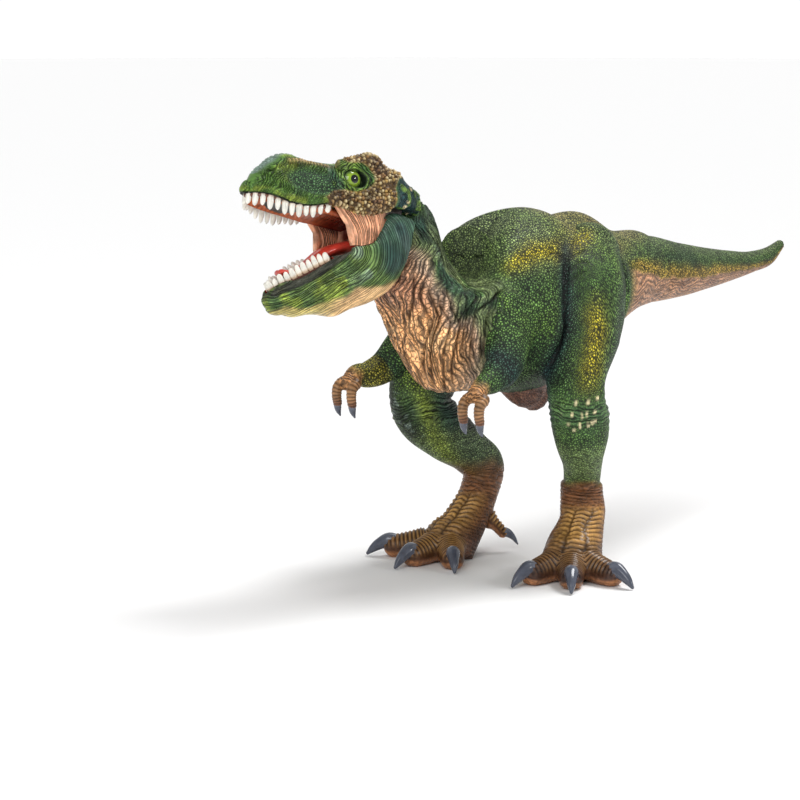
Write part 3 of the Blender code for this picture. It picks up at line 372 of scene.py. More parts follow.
def groove(points, line, width, taper=0.15):
    """A soft groove's depth from 0 to 1 along a line, run out at both ends."""
    gap, along = stroke(points, line)
    ends = ramp(0, taper, along) * ramp(0, taper, 1 - along)
    return bell(gap, width) * ends


def blot(points, centre, size):
    """A soft spot from 0 to 1, with a size along each axis."""
    return np.exp(-((((points - np.array(centre)) / np.array(size)) ** 2).sum(-1)))


def inside(points, outline, soft):
    """1 inside an outline of the points' first two coordinates and 0 outside, with a soft edge in mm."""
    x, y = points[..., 0], points[..., 1]
    outline = np.array(outline, dtype=float)
    closed = np.vstack([outline, outline[:1]])
    within = np.zeros(x.shape, dtype=bool)
    for (ax, ay), (bx, by) in zip(closed, closed[1:]):
        crosses = (ay > y) != (by > y)
        within ^= crosses & (x < (bx - ax) * (y - ay) / (by - ay + 1e-12) + ax)
    gap, _ = stroke(np.stack([x, y], axis=-1), closed)
    return ramp(-soft, soft, np.where(within, gap, -gap))


class Tube:
    """A tube of oval rings along a smooth curve: rows of place, half width, half depth and turn."""

    def __init__(self, rows, side=(0.0, -1.0, 0.0), powers=(2.0, 2.0), egg=0.0, ahead=None):
        """At each ring the tube runs ahead or along its curve. Aside is the given side, turned by the
        row's turn and squared to the run, and up is square to both."""
        fine = smooth_rows(rows, 12)
        track = unit(np.gradient(fine[:, :3], axis=0))
        if ahead is not None:
            track[:] = ahead
        turn = np.radians(fine[:, 5]) if fine.shape[1] > 5 else np.zeros(len(fine))
        x, y, z = side
        aside = np.column_stack([x * np.cos(turn) - y * np.sin(turn), x * np.sin(turn) + y * np.cos(turn),
                                 np.full(len(fine), z)])
        aside = unit(aside - (aside * track).sum(1)[:, None] * track)
        hand = -1.0 if np.cross(side, track[0])[2] < 0 else 1.0
        self.centre, self.width, self.depth = fine[:, :3], fine[:, 3], fine[:, 4]
        self.track, self.aside, self.rise = track, aside, np.cross(aside, track) * hand
        self.powers, self.egg = powers, egg
        gaps = np.linalg.norm(np.diff(self.centre, axis=0), axis=1)
        self.reach = np.append(0.0, np.cumsum(gaps))

    def at(self, place, table):
        """A table's values at places given as whole and part rows."""
        low = np.clip(np.floor(place).astype(int), 0, len(table) - 2)
        t = np.clip(place - low, 0, 1)
        t = t[..., None] if table.ndim == 2 else t
        return table[low] * (1 - t) + table[low + 1] * t

    def oval(self, angles):
        """An oval's places across and up: cosine and sine, each to the power 2 / n, where n is given for
        its upper and its lower half, and an egg shape makes it narrower at the top."""
        power = np.where(np.sin(angles) > 0, *self.powers)
        across = np.sign(np.cos(angles)) * np.abs(np.cos(angles)) ** (2 / power)
        upward = np.sign(np.sin(angles)) * np.abs(np.sin(angles)) ** (2 / power)
        return across * (1 - self.egg * upward), upward

    def even_angles(self, count):
        """Angles whose points lie evenly round the tube's middle ring."""
        fine = np.radians(360) * np.arange(2881) / 2880
        across, upward = self.oval(fine)
        gaps = np.hypot(np.diff(across) * self.width.mean(), np.diff(upward) * self.depth.mean())
        reach = np.append(0.0, np.cumsum(gaps))
        return np.interp(reach[-1] * np.arange(count) / count, reach, fine)

    def grid(self, step, around, domes=(6, 6), bulge=(1.0, 1.0)):
        """The tube's surface as a grid: points, mm along and the angle around; its ends are domes."""
        change = np.diff(np.column_stack([self.centre, self.width, self.depth]), axis=0)
        spread = np.append(0.0, np.cumsum(np.linalg.norm(change, axis=1)))
        count = int(spread[-1] / step) + 1
        place = np.interp(np.linspace(0, spread[-1], count), spread, np.arange(len(spread)))
        shift, shrink, where = [], [], []
        for end, rings, share in ((0, domes[0], bulge[0]), (-1, domes[1], bulge[1])):
            turn = np.radians(88) * np.arange(1, rings + 1) / rings
            size = min(self.width[end], self.depth[end]) * share
            order = slice(None, None, -1) if end == 0 else slice(None)
            shift.append((np.sin(turn) * size * (-1 if end == 0 else 1))[order])
            shrink.append(np.cos(turn)[order])
            where.append(np.full(rings, place[end]))
        place = np.concatenate([where[0], place, where[1]])
        out = np.concatenate([shift[0], np.zeros(count), shift[1]])
        scale = np.concatenate([shrink[0], np.ones(count), shrink[1]])
        angles = self.even_angles(around)
        across, upward = self.oval(angles)
        centre = self.at(place, self.centre) + out[:, None] * self.at(place, self.track)
        wide = (self.at(place, self.width) * scale)[:, None] * across
        high = (self.at(place, self.depth) * scale)[:, None] * upward
        points = (centre[:, None] + wide[..., None] * self.at(place, self.aside)[:, None]
                  + high[..., None] * self.at(place, self.rise)[:, None])
        along = np.repeat((self.at(place, self.reach) + out)[:, None], around, axis=1)
        return points, along, np.repeat(angles[None], len(place), axis=0)

    def field(self, points):
        """How far points are outside the tube in mm, and how far along and round it they are."""
        flat = points.reshape(-1, 3)
        gap, along, turn = np.empty(len(flat)), np.empty(len(flat)), np.empty(len(flat))
        pitches = np.maximum(np.gradient(self.reach), 1e-6)
        for start in range(0, len(flat), CHUNK):
            p = flat[start:start + CHUNK]
            near = ((p[:, None] - self.centre[None]) ** 2).sum(2).argmin(1)
            ahead = ((p - self.centre[near]) * self.track[near]).sum(1)
            place = np.clip(near + ahead / pitches[near], 0, len(self.centre) - 1)
            offset = p - self.at(place, self.centre)
            beyond = np.abs((offset * self.at(place, self.track)).sum(1))
            u = (offset * self.at(place, self.aside)).sum(1)
            v = (offset * self.at(place, self.rise)).sum(1)
            high = v / self.at(place, self.depth)
            wide = u / (self.at(place, self.width) * np.maximum(1 - self.egg * high, 0.2))
            power = np.where(v > 0, *self.powers)
            size = np.maximum((np.abs(wide) ** power + np.abs(high) ** power) ** (1 / power), 1e-6)
            out = np.hypot(u, v) * (1 - 1 / size)
            gap[start:start + CHUNK] = np.where(beyond > 0.4, np.hypot(np.maximum(out, 0), beyond), out)
            along[start:start + CHUNK] = self.at(place, self.reach)
            turn[start:start + CHUNK] = np.arctan2(high, wide)
        shape = points.shape[:-1]
        return gap.reshape(shape), along.reshape(shape), turn.reshape(shape)


def normals(points):
    """Outward directions of a grid whose columns close round it."""
    round_step = np.roll(points, -1, axis=1) - np.roll(points, 1, axis=1)
    long_step = np.gradient(points, axis=0)
    out = unit(np.cross(round_step, long_step))
    middle = points.mean(axis=1, keepdims=True)
    sign = np.sign(((points - middle) * out).sum())
    return out * (sign if sign != 0 else 1.0)


def relax(points, share, rounds):
    """Evens a grid out by a share at each point, round after round."""
    points = points.copy()
    for _ in range(rounds):
        mean = points.copy()
        mean[1:-1] = (points[:-2] + points[2:]) / 2
        points += (mean - points) * share[..., None] * 0.5
    return points


def unfold(points):
    """Evens out the places where rings of a tight bend cross each other."""
    step = np.diff(points, axis=0)
    middle = np.diff(points.mean(axis=1), axis=0)
    length = np.linalg.norm(middle, axis=1)[:, None]
    forward = (step * middle[:, None]).sum(-1) / np.maximum(length**2, 1e-9)
    tight = np.zeros(points.shape[:2])
    tight[1:] = forward < 0.25
    for _ in range(12):
        tight[1:-1] = np.maximum(tight[1:-1], 0.9 * np.maximum(tight[:-2], tight[2:]))
        tight = np.maximum(tight, 0.9 * np.maximum(np.roll(tight, 1, 1), np.roll(tight, -1, 1)))
    return relax(points, tight, 60)


def merge(points, others, reach, sink=0.35):
    """Pulls a skin out to the rounded union of its tube and its neighbours', and lets it sink where
    a neighbour covers it. The union's rounding is a parabola, reach mm wide."""
    out = normals(points)
    rise = np.zeros(points.shape[:2])
    others = list(zip(others, reach))
    close = []
    for tube, r in others:
        room = np.maximum(tube.width, tube.depth).max() + r * 1.5 + 1.0
        low, high = tube.centre.min(0) - room, tube.centre.max(0) + room
        mask = ((points > low) & (points < high)).all(-1)
        mask[mask] = tube.field(points[mask])[0] < r * 1.5 + 1.0
        close.append(mask)
    near = np.any(close, axis=0)
    if not near.any():
        return points
    base, aim = points[near], out[near]
    lift = np.zeros(len(base))
    for _ in range(4):
        worst, extra = np.full(lift.shape, 99.0), np.zeros(lift.shape)
        for (tube, r), mask in zip(others, close):
            part = mask[near]
            gap = tube.field((base + aim * lift[:, None])[part])[0]
            h = np.maximum(r - np.abs(lift[part] - gap), 0) / r
            extra[part] = np.maximum(extra[part], h * h * r / 4)
            worst[part] = np.minimum(worst[part], gap)
        lift = np.clip(lift - (np.minimum(lift, worst) - extra), 0, max(r for _, r in others) * 0.32)
    hidden = lift - worst
    rise[near] = lift * (1 - ramp(1.0, 5.0, hidden)) - sink * ramp(0.0, 1.2, hidden)
    return points + out * rise[..., None]


# Frames

def turn_about(axis, degrees):
    """The matrix of a turn about an axis of the frame."""
    return np.array(Matrix.Rotation(math.radians(degrees), 3, axis))


SKULL_TURN = turn_about("Z", 180 - HEAD_YAW) @ turn_about("X", HEAD_ROLL) @ turn_about("Y", -SKULL_PITCH)
JAW_TURN = SKULL_TURN @ turn_about("Y", JAW_DROP)
PIN = np.array(HEAD_CENTRE) + SKULL_TURN @ np.array(PIN_IN_SKULL)
low, high = (np.array(corner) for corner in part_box("jaw_pin"))
SHIFT = (low + high) / 2 / MM - PIN


def from_skull(points):
    """Places in the skull's frame, turned and moved into the figure's."""
    return points @ SKULL_TURN.T + np.array(HEAD_CENTRE)


def from_jaw(points):
    """Places in the jaw's frame, whose origin is the hinge pin, turned and moved into the figure's."""
    return points @ JAW_TURN.T + PIN


def scaled(shares, *sizes):
    """A table whose first columns are shares, times the sizes that they are shares of."""
    table = np.array(shares, dtype=float)
    table[:, :len(sizes)] *= np.array(sizes)
    return table


def head_rows(shares):
    """Tube rows of a head piece, from its place along, top, bottom and half width: its middle lies half way
    between top and bottom, and its half depth is half of what lies between them."""
    length, width, height = HEAD
    table = np.array(shares)
    middle, half = (table[:, 1] + table[:, 2]) / 2 * height, (table[:, 1] - table[:, 2]) / 2 * height
    return np.column_stack([table[:, 0] * length, np.zeros(len(table)), middle, table[:, 3] * width, half])


# Meshes and materials

def skin(name, grids, body, nodes, material, corners=False):
    """One object from closed grids, each a dict of points, paint, finish and weave. Paint is a colour and
    the pebbles' strength; finish is dark wash, gloss and the pebbles' size; weave is a place across and
    along folds, counted in folds, and the strength of cracks and of folds. A piece that is cut later
    keeps them at its faces' corners."""
    verts, faces, paints, finishes, weaves = [], [], [], [], []
    base = 0
    for grid in grids:
        points = grid["points"]
        rows, cols = points.shape[:2]
        index = base + np.arange(rows * cols).reshape(rows, cols)
        right = np.roll(index, -1, axis=1)
        quads = np.stack([index[:-1], right[:-1], right[1:], index[1:]], axis=-1).reshape(-1, 4)
        area = np.cross(np.roll(points, -1, axis=1)[:-1] - points[:-1], points[1:] - points[:-1])
        outward = (area * (points[:-1] - points[:-1].mean(axis=1, keepdims=True))).sum()
        if outward < 0:
            quads = quads[:, ::-1]
        poles = np.array([points[0].mean(0), points[-1].mean(0)])
        first, last = base + rows * cols, base + rows * cols + 1
        caps = [np.column_stack([np.full(cols, first), right[0], index[0], index[0]]),
                np.column_stack([np.full(cols, last), index[-1], right[-1], right[-1]])]
        caps = [cap[:, :3] if outward >= 0 else cap[:, [0, 2, 1]] for cap in caps]
        verts.append(np.vstack([points.reshape(-1, 3), poles]))
        faces.append((quads, np.vstack(caps)))
        for store, key in ((paints, "paint"), (finishes, "finish"), (weaves, "weave")):
            flat = grid[key].reshape(-1, 4)
            store.append(np.vstack([flat, flat[:cols].mean(0), flat[-cols:].mean(0)]))
        base += rows * cols + 2
    verts = (np.vstack(verts) + SHIFT) * MM
    quads = np.vstack([quad for quad, _ in faces])
    tris = np.vstack([tri for _, tri in faces])
    mesh = bpy.data.meshes.new(name)
    mesh.vertices.add(len(verts))
    mesh.vertices.foreach_set("co", verts.astype(np.float32).ravel())
    mesh.loops.add(quads.size + tris.size)
    mesh.loops.foreach_set("vertex_index", np.concatenate([quads.ravel(), tris.ravel()]).astype(np.int32))
    starts = np.concatenate([np.arange(len(quads)) * 4, quads.size + np.arange(len(tris)) * 3])
    mesh.polygons.add(len(starts))
    mesh.polygons.foreach_set("loop_start", starts.astype(np.int32))
    mesh.update(calc_edges=True)
    at_corner = np.concatenate([quads.ravel(), tris.ravel()])
    for label, store in (("paint", paints), ("finish", finishes), ("weave", weaves)):
        layer = mesh.attributes.new(label, "FLOAT_COLOR", "CORNER" if corners else "POINT")
        values = np.vstack(store)[at_corner] if corners else np.vstack(store)
        layer.data.foreach_set("color", values.astype(np.float32).ravel())
    mesh.shade_smooth()
    mesh.materials.append(material)
    item = bpy.data.objects.new(name, mesh)
    bpy.context.scene.collection.objects.link(item)
    if body:
        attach(item, body)
    if nodes:
        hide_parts(*nodes)
    return item


def node(tree, kind, settings=None, **links):
    """Adds a shader node with its settings, and with values or links for its inputs by name, or by number
    as i0, i1 and so on, and hands back its outputs."""
    new = tree.nodes.new(kind)
    for key, value in (settings or {}).items():
        setattr(new, key, value)
    for key, value in links.items():
        name = key.replace("_", " ")
        socket = new.inputs[int(key[1:])] if key[1:].isdigit() else new.inputs[name]
        if isinstance(value, bpy.types.NodeSocket):
            tree.links.new(value, socket)
        else:
            socket.default_value = value
    return new.outputs


def shader(name):
    """A new material with its Principled shader and its node tree."""
    material = bpy.data.materials.new(name)
    material.use_nodes = True
    return material, material.node_tree, material.node_tree.nodes["Principled BSDF"]


# Kinds of shader node that come back
MATH, VECTOR = "ShaderNodeMath", "ShaderNodeVectorMath"
MIX, RANGE = "ShaderNodeMix", "ShaderNodeMapRange"
NOISE, CELLS = "ShaderNodeTexNoise", "ShaderNodeTexVoronoi"
OWN_VALUES = "ShaderNodeAttribute"
# Settings of shader nodes that come back: sums, smooth bands, cell edges, and mixes of two colours
TIMES = {"operation": "MULTIPLY"}
TIMES_PLUS = {"operation": "MULTIPLY_ADD"}
LESS = {"operation": "SUBTRACT"}
LARGER = {"operation": "MAXIMUM"}
SMOOTH = {"interpolation_type": "SMOOTHSTEP"}
PEBBLE_EDGES = {"feature": "DISTANCE_TO_EDGE"}
FOLD_EDGES = {"voronoi_dimensions": "1D", "feature": "DISTANCE_TO_EDGE"}
CRACK_EDGES = {"voronoi_dimensions": "2D", "feature": "DISTANCE_TO_EDGE"}
FLAT_NOISE = {"noise_dimensions": "2D"}
BLEND = {"data_type": "RGBA", "blend_type": "MIX"}
STAIN = {"data_type": "RGBA", "blend_type": "MULTIPLY"}


def painted_vinyl(name, roughness):
    """Moulded soft PVC, air-brushed and dry-brushed: satin paint on raised pebbles, with lighter tops and a
    dark wash in the gaps, long folds and fine cracks, and mottling. The real skin's finest pebbles, under
    half a millimetre, are too fine to show, so all are drawn 0.65 to 1 mm across."""
    material, tree, principled = shader(name)
    paint = node(tree, OWN_VALUES, {"attribute_name": "paint"})
    finish = node(tree, OWN_VALUES, {"attribute_name": "finish"})
    wash, gloss, coarse = node(tree, "ShaderNodeSeparateColor", Color=finish["Color"])
    strength = paint["Alpha"]
    place = node(tree, "ShaderNodeTexCoord")["Object"]
    # Pebbles: Voronoi cells, 1560 to a metre, or 960 where they are coarse, on places that wobble by 0.6 mm
    wobble = node(tree, NOISE, Vector=place, Scale=400.0, Detail=2.0)
    bent = node(tree, VECTOR, TIMES_PLUS, i0=wobble["Color"], i1=(0.0006, 0.0006, 0.0006), i2=place)[0]
    scale = node(tree, MATH, TIMES_PLUS, i0=coarse, i1=-600.0, i2=1560.0)[0]
    middle_cell = node(tree, CELLS, {"feature": "F1"}, Vector=bent, Scale=scale)
    edge_cell = node(tree, CELLS, PEBBLE_EDGES, Vector=bent, Scale=scale)
    edge = node(tree, RANGE, SMOOTH, Value=edge_cell["Distance"], From_Min=0.03, From_Max=0.30)[0]
    dome = node(tree, RANGE, SMOOTH, Value=middle_cell["Distance"], From_Min=0.60, From_Max=0.05)[0]
    gap = node(tree, MATH, LESS, i0=1.0, i1=edge)[0]
    gap = node(tree, MATH, TIMES, i0=gap, i1=strength)[0]
    # Each pebble is a little lighter or darker than the next, and its dry-brushed top is lighter still
    tone = node(tree, MATH, TIMES_PLUS, i0=middle_cell["Color"], i1=0.75, i2=0.70)[0]
    tint = node(tree, "ShaderNodeHueSaturation", Color=paint["Color"], Value=tone)[0]
    share = node(tree, MATH, TIMES, i0=strength, i1=0.8)[0]
    colour = node(tree, MIX, BLEND, i0=share, i6=paint["Color"], i7=tint)[2]
    light = node(tree, MIX, STAIN, i0=1.0, i6=colour, i7=(3.3, 3.0, 2.7, 1.0))[2]
    top = node(tree, MATH, TIMES, i0=dome, i1=strength)[0]
    # Folds and cracks: lines between jittered bands, and a net, both on the piece's own fold places
    weave = node(tree, OWN_VALUES, {"attribute_name": "weave"})
    across, along, cracks = node(tree, "ShaderNodeSeparateXYZ", Vector=weave["Vector"])
    flat = node(tree, "ShaderNodeCombineXYZ", X=across, Y=along)[0]
    drift = node(tree, NOISE, FLAT_NOISE, Vector=flat, Scale=0.22, Detail=3.0)
    lane = node(tree, MATH, TIMES_PLUS, i0=drift[0], i1=4.5, i2=across)[0]
    bands = node(tree, CELLS, FOLD_EDGES, W=lane, Scale=1.0, Randomness=0.75)["Distance"]
    line = node(tree, RANGE, SMOOTH, Value=bands, From_Min=0.24, From_Max=0.02)[0]
    ridge = node(tree, RANGE, SMOOTH, Value=bands, From_Min=0.12, From_Max=0.50)[0]
    depth = node(tree, NOISE, FLAT_NOISE, Vector=flat, Scale=0.45, Detail=1.0)[0]
    depth = node(tree, RANGE, Value=depth, From_Min=0.35, From_Max=0.55, To_Min=0.35)[0]
    line = node(tree, MATH, TIMES, i0=line, i1=depth)[0]
    line = node(tree, MATH, TIMES, i0=line, i1=weave["Alpha"])[0]
    bent_flat = node(tree, VECTOR, TIMES_PLUS, i0=drift["Color"], i1=(2.2, 2.2, 0.0), i2=flat)[0]
    net = node(tree, CELLS, CRACK_EDGES, Vector=bent_flat, Scale=1.75)["Distance"]
    crack = node(tree, RANGE, SMOOTH, Value=net, From_Min=0.15, From_Max=0.01)[0]
    cracks = node(tree, MATH, TIMES, i0=cracks, i1=0.8)[0]
    crack = node(tree, MATH, TIMES, i0=crack, i1=cracks)[0]
    fold = node(tree, MATH, LARGER, i0=line, i1=crack)[0]
    ridge = node(tree, MATH, TIMES, i0=ridge, i1=weave["Alpha"])[0]
    # Colour: lighter tops, dark gaps, mottling, then the wash of the folds and of the painted creases
    top = node(tree, MATH, TIMES_PLUS, i0=ridge, i1=0.55, i2=top)[0]
    colour = node(tree, MIX, BLEND, i0=top, i6=colour, i7=light)[2]
    dark = node(tree, MIX, STAIN, i0=1.0, i6=colour, i7=(0.06, 0.07, 0.07, 1.0))[2]
    colour = node(tree, MIX, BLEND, i0=gap, i6=colour, i7=dark)[2]
    mottle = node(tree, NOISE, Vector=place, Scale=260.0, Detail=4.0, Roughness=0.65)
    mottle = node(tree, RANGE, Value=mottle[0], From_Min=0.3, From_Max=0.7,
                  To_Min=0.56, To_Max=1.46)[0]
    colour = node(tree, MIX, STAIN, i0=1.0, i6=colour, i7=mottle)[2]
    deep = node(tree, MIX, STAIN, i0=1.0, i6=colour, i7=(0.13, 0.11, 0.10, 1.0))[2]
    shade = node(tree, MATH, TIMES, i0=fold, i1=0.96)[0]
    shade = node(tree, MATH, LARGER, i0=wash, i1=shade)[0]
    colour = node(tree, MIX, BLEND, i0=shade, i6=colour, i7=deep)[2]
    tree.links.new(colour, principled.inputs["Base Color"])
    rough = node(tree, MATH, TIMES_PLUS, i0=gap, i1=0.25, i2=roughness)[0]
    rough = node(tree, MATH, TIMES_PLUS, i0=gloss, i1=-0.22, i2=rough)[0]
    tree.links.new(rough, principled.inputs["Roughness"])
    principled.inputs["IOR"].default_value = 1.45
    principled.inputs["Specular IOR Level"].default_value = 0.35
    # Relief: pebbles, a fine grain, ridges that stand between the folds, and the folds cut in
    grain = node(tree, NOISE, Vector=place, Scale=1500.0, Detail=2.0)[0]
    height = node(tree, MATH, TIMES, i0=edge, i1=dome)[0]
    height = node(tree, MATH, TIMES, i0=height, i1=strength)[0]
    for relief, lift in ((grain, 0.12), (ridge, 0.5), (fold, -0.9)):
        height = node(tree, MATH, TIMES_PLUS, i0=relief, i1=lift, i2=height)[0]
    bump = node(tree, "ShaderNodeBump", Height=height, Distance=0.00055, Strength=1.0)
    tree.links.new(bump[0], principled.inputs["Normal"])
    return material


def painted_gloss(name, roughness, coat_share=0.4):
    """Painted plastic under a clear gloss: its paint is darker by up to a quarter in soft streaks, about
    2 mm apart."""
    material, tree, principled = shader(name)
    paint = node(tree, OWN_VALUES, {"attribute_name": "paint"})["Color"]
    place = node(tree, "ShaderNodeTexCoord")["Object"]
    spread = node(tree, NOISE, Vector=place, Scale=420.0, Detail=3.0)[0]
    share = node(tree, RANGE, Value=spread, From_Min=0.35, From_Max=0.65)[0]
    shade = node(tree, MIX, STAIN, i0=1.0, i6=paint, i7=(0.72, 0.72, 0.72, 1))[2]
    colour = node(tree, MIX, BLEND, i0=share, i6=paint, i7=shade)[2]
    tree.links.new(colour, principled.inputs["Base Color"])
    principled.inputs["Roughness"].default_value = roughness
    principled.inputs["IOR"].default_value = 1.5
    principled.inputs["Coat Weight"].default_value = coat_share
    principled.inputs["Coat Roughness"].default_value = 0.08
    bump = node(tree, "ShaderNodeBump", Height=spread, Distance=0.0001, Strength=0.5)
    tree.links.new(bump[0], principled.inputs["Normal"])
    return material


# Paint helpers

def coat(shape, colour):
    """A grid's first coat, one colour all over."""
    return np.broadcast_to(PAINT[colour], (*shape, 3)).copy()


def brush(paint, colour, share):
    """Paint laid over paint by a share from 0 to 1."""
    share = np.clip(share, 0, 1)[..., None]
    return paint * (1 - share) + PAINT[colour] * share


def finished(points, paint, pebbles, wash, gloss=0.0, coarse=0.5, weave=(0.0, 0.0, 0.0, 0.0)):
    """A grid with its paint, finish and weave values."""
    shape = points.shape[:2]

    def full(value):
        """A value spread over the whole grid."""
        return np.broadcast_to(value, shape)

    return {"points": points,
            "weave": np.dstack([full(value) for value in weave]),
            "paint": np.dstack([paint, full(np.clip(pebbles, 0, 1))]),
            "finish": np.dstack([full(np.clip(wash, 0, 1)), full(gloss), full(coarse), full(1.0)])}


# Tubes of the body

TRUNK_TUBE = Tube(scaled(TRUNK_SHARES, *BODY), egg=0.10)
BULGE_TUBE = Tube(scaled(BULGE_SHARES, *BODY))
TAIL_ROWS = scaled(TAIL_SHARES, *TAIL)
TAIL_ROWS[:, :3] += scaled(TRUNK_SHARES, *BODY)[0][:3]
TAIL_TUBE = Tube(TAIL_ROWS)


def leg_rows(shares, hand):
    """A leg's tube rows in mm, on the left (-1) or the right (1), with their turns to match."""
    rows = scaled(shares, BODY[0], hand * BODY[1], BODY[2], LIMB, LIMB)
    rows[:, 5] *= -hand
    return rows


LEG_TUBES = {"left": Tube(leg_rows(LEFT_LEG_SHARES, -1)), "right": Tube(leg_rows(RIGHT_LEG_SHARES, 1))}
ARM_TUBES = {"left": Tube(scaled(LEFT_ARM_SHARES, BODY[0], -BODY[1], BODY[2], ARM, ARM)),
             "right": Tube(scaled(RIGHT_ARM_SHARES, BODY[0], BODY[1], BODY[2], ARM, ARM))}

# Folds and painted places on the left side, in mm; the right side mirrors them
CHEST_FOLDS = (
    ((-78.2, -12.2, 108.0), (-81.4, -13.8, 103.0), (-82.9, -13.8, 98.3), (-85.3, -11.7, 93.0),
     (-84.2, -9.2, 86.3), (-80.7, -7.3, 79.3), (-73.7, -5.8, 70.9)),
    ((-77.0, -13.3, 104.3), (-75.6, -15.0, 97.9), (-76.3, -15.7, 90.5), (-79.3, -12.7, 84.0),
     (-78.2, -8.6, 77.1), (-66.5, -3.0, 64.5)),
    ((-70.7, -12.2, 103.8), (-68.6, -14.9, 97.4), (-71.3, -16.8, 90.2), (-74.6, -15.6, 83.9),
     (-73.8, -13.4, 77.1), (-65.0, -6.5, 64.6)),
    ((-74.2, -10.6, 108.8), (-69.0, -12.6, 103.7), (-66.0, -15.7, 97.2), (-66.4, -17.6, 93.0),
     (-70.5, -17.4, 86.0), (-69.5, -16.5, 78.0)),
)
FOLD_SPACING, FOLD_WIDTH = 4.2, 1.35
# The upright line about which chest places are told apart: heights and places along
CHEST_AXIS = ((58.0, 72.0, 85.0, 95.0, 105.0, 114.0), (-44.0, -48.0, -52.0, -58.0, -67.0, -76.0))
CHEST_ROUND = 20.0
# The angle round a tube at which its underside lies
UNDERSIDE = math.radians(270)
# How far the left leg's rear line is pulled forward, in mm: heights, and the pull at each
LEFT_LEG_PULL = ((15.0, 22.0, 29.0, 33.0, 38.0, 45.0, 54.0, 58.0, 62.0, 68.0, 73.0, 84.0, 95.0, 104.0),
                 (0.0, 1.2, 2.8, 3.6, 4.0, 1.8, 0.4, 2.6, 2.9, 1.6, 0.9, 3.2, 2.4, 0.0))
# The camera, by which marks on the body are placed where the photo shows them
CAMERA_PLACE = (-571.83, -488.83, 165.0)
CAMERA_TILT, CAMERA_TURN = 81.3, -45.0
FOCAL_PIXELS, PICTURE_MIDDLE = 2300.0, 400.0
# Creases, marks, spots and shades, drawn in the photo's pixels, right and down
THIGH_CREASE = ((566, 248), (566, 271), (565, 298), (564, 325), (559, 343), (552, 358), (546, 374))
THIGH_BRANCHES = (((567, 262), (576, 254), (588, 250)), ((568, 272), (579, 262), (590, 262)),
                  ((568, 284), (577, 276), (586, 270)), ((565, 258), (556, 252), (548, 254)))
ARM_CREASE = ((508, 287), (497, 289), (491, 303), (487, 320), (484, 338), (482, 354), (475, 371))
CHEST_CREASES = (
    ((414, 271), (412, 289), (409, 302), (402, 314), (401, 325)),
    ((422, 275), (417, 300), (422, 316), (429, 323), (424, 339), (422, 361), (427, 371)),
    ((431, 277), (427, 293), (431, 307), (437, 321), (431, 336), (429, 354), (431, 366), (437, 384)),
    ((440, 293), (437, 307), (449, 323), (446, 339), (442, 354), (444, 371), (446, 389)),
    ((449, 277), (446, 293), (451, 311), (460, 325), (456, 343), (451, 361), (453, 379)),
    ((460, 259), (465, 277), (467, 296), (465, 311), (456, 323)),
    ((474, 261), (477, 279), (476, 296), (467, 311), (465, 325), (462, 343), (463, 361)),
    ((506, 287), (497, 289), (489, 300), (476, 311), (474, 325), (471, 343), (469, 361)),
    ((444, 238), (452, 252), (459, 266)), ((455, 236), (466, 250), (472, 262)), ((464, 232), (478, 248)),
)
FLANK_MARK = ((518, 260), (535, 255), (555, 249))
HIP_MARK = ((561, 256), (573, 247), (585, 237))
KNEE_DOTS = ((576, 404), (588, 403), (597, 399), (560, 414), (572, 416), (582, 416), (587, 415), (595, 413),
             (568, 425), (580, 426), (588, 425), (592, 423), (595, 421), (574, 430))
KNEE_MIDDLES = {"left": (-34.0, -28.0, 55.0), "right": (-45.0, -27.0, 51.0)}
# Marks of the right knee: a line of painted shade, a painted highlight, and painted shade in the hollow
# behind the knee
KNEE_SHADE = ((387, 390), (393, 404), (403, 421), (413, 434))
KNEE_HIGHLIGHT = ((414, 376), (422, 396), (432, 432), (448, 458))
KNEE_HOLLOW_SHADE = ((452, 398), (464, 392), (474, 406), (470, 424))
YELLOW_LINE = ((593, 282), (597, 302), (597, 325), (594, 346), (590, 370), (588, 382))
# The edge of the tan chest, in mm: places along and up
CHEST_EDGE = ((-89.0, 106.0), (-84.0, 100.0), (-78.5, 93.0), (-75.0, 86.0), (-69.5, 84.0), (-66.7, 79.1),
              (-64.6, 71.0), (-60.0, 64.0), (-52.0, 58.0), (-52.0, 40.0), (-120.0, 40.0), (-120.0, 106.0))


def fold_place(side):
    """How far a place lies round the chest from its first fold, in mm: straight between the folds."""
    z = side[..., 2]

    def turn(places):
        """The angle round the chest's upright line, times a radius."""
        back = np.interp(places[..., 2], *CHEST_AXIS)
        return CHEST_ROUND * np.arctan2(np.abs(places[..., 1]), back - places[..., 0])

    arc = turn(side)
    lines = [np.array(line)[::-1] for line in CHEST_FOLDS]
    marks = [np.interp(z, line[:, 2], turn(line)) for line in lines]
    place = np.minimum(arc - marks[0], 0) * 1.3
    for low, high in zip(marks, marks[1:]):
        place += np.clip((arc - low) / np.maximum(high - low, 0.8), 0, 1) * FOLD_SPACING
    return place + np.maximum(arc - marks[-1], 0) * 1.2


def picture(side):
    """Where places on the left side are seen in the photo, in its pixels, right and down."""
    turn = turn_about("Z", CAMERA_TURN) @ turn_about("X", CAMERA_TILT)
    view = (side - np.array(CAMERA_PLACE)) @ turn
    scale = FOCAL_PIXELS / -view[..., 2]
    return np.stack([PICTURE_MIDDLE + view[..., 0] * scale, PICTURE_MIDDLE - view[..., 1] * scale], axis=-1)


def yellow_marks(seen, wander):
    """The yellow marks of flank and hip, which run on from the trunk to the thigh."""
    seen = seen + np.stack([wander, wander * 0.5], axis=-1) * 2.0
    flank, _ = stroke(seen, FLANK_MARK)
    hip, _ = stroke(seen, HIP_MARK)
    return np.maximum(0.92 * bell(flank, 11.0), 0.85 * bell(hip, 8.5))


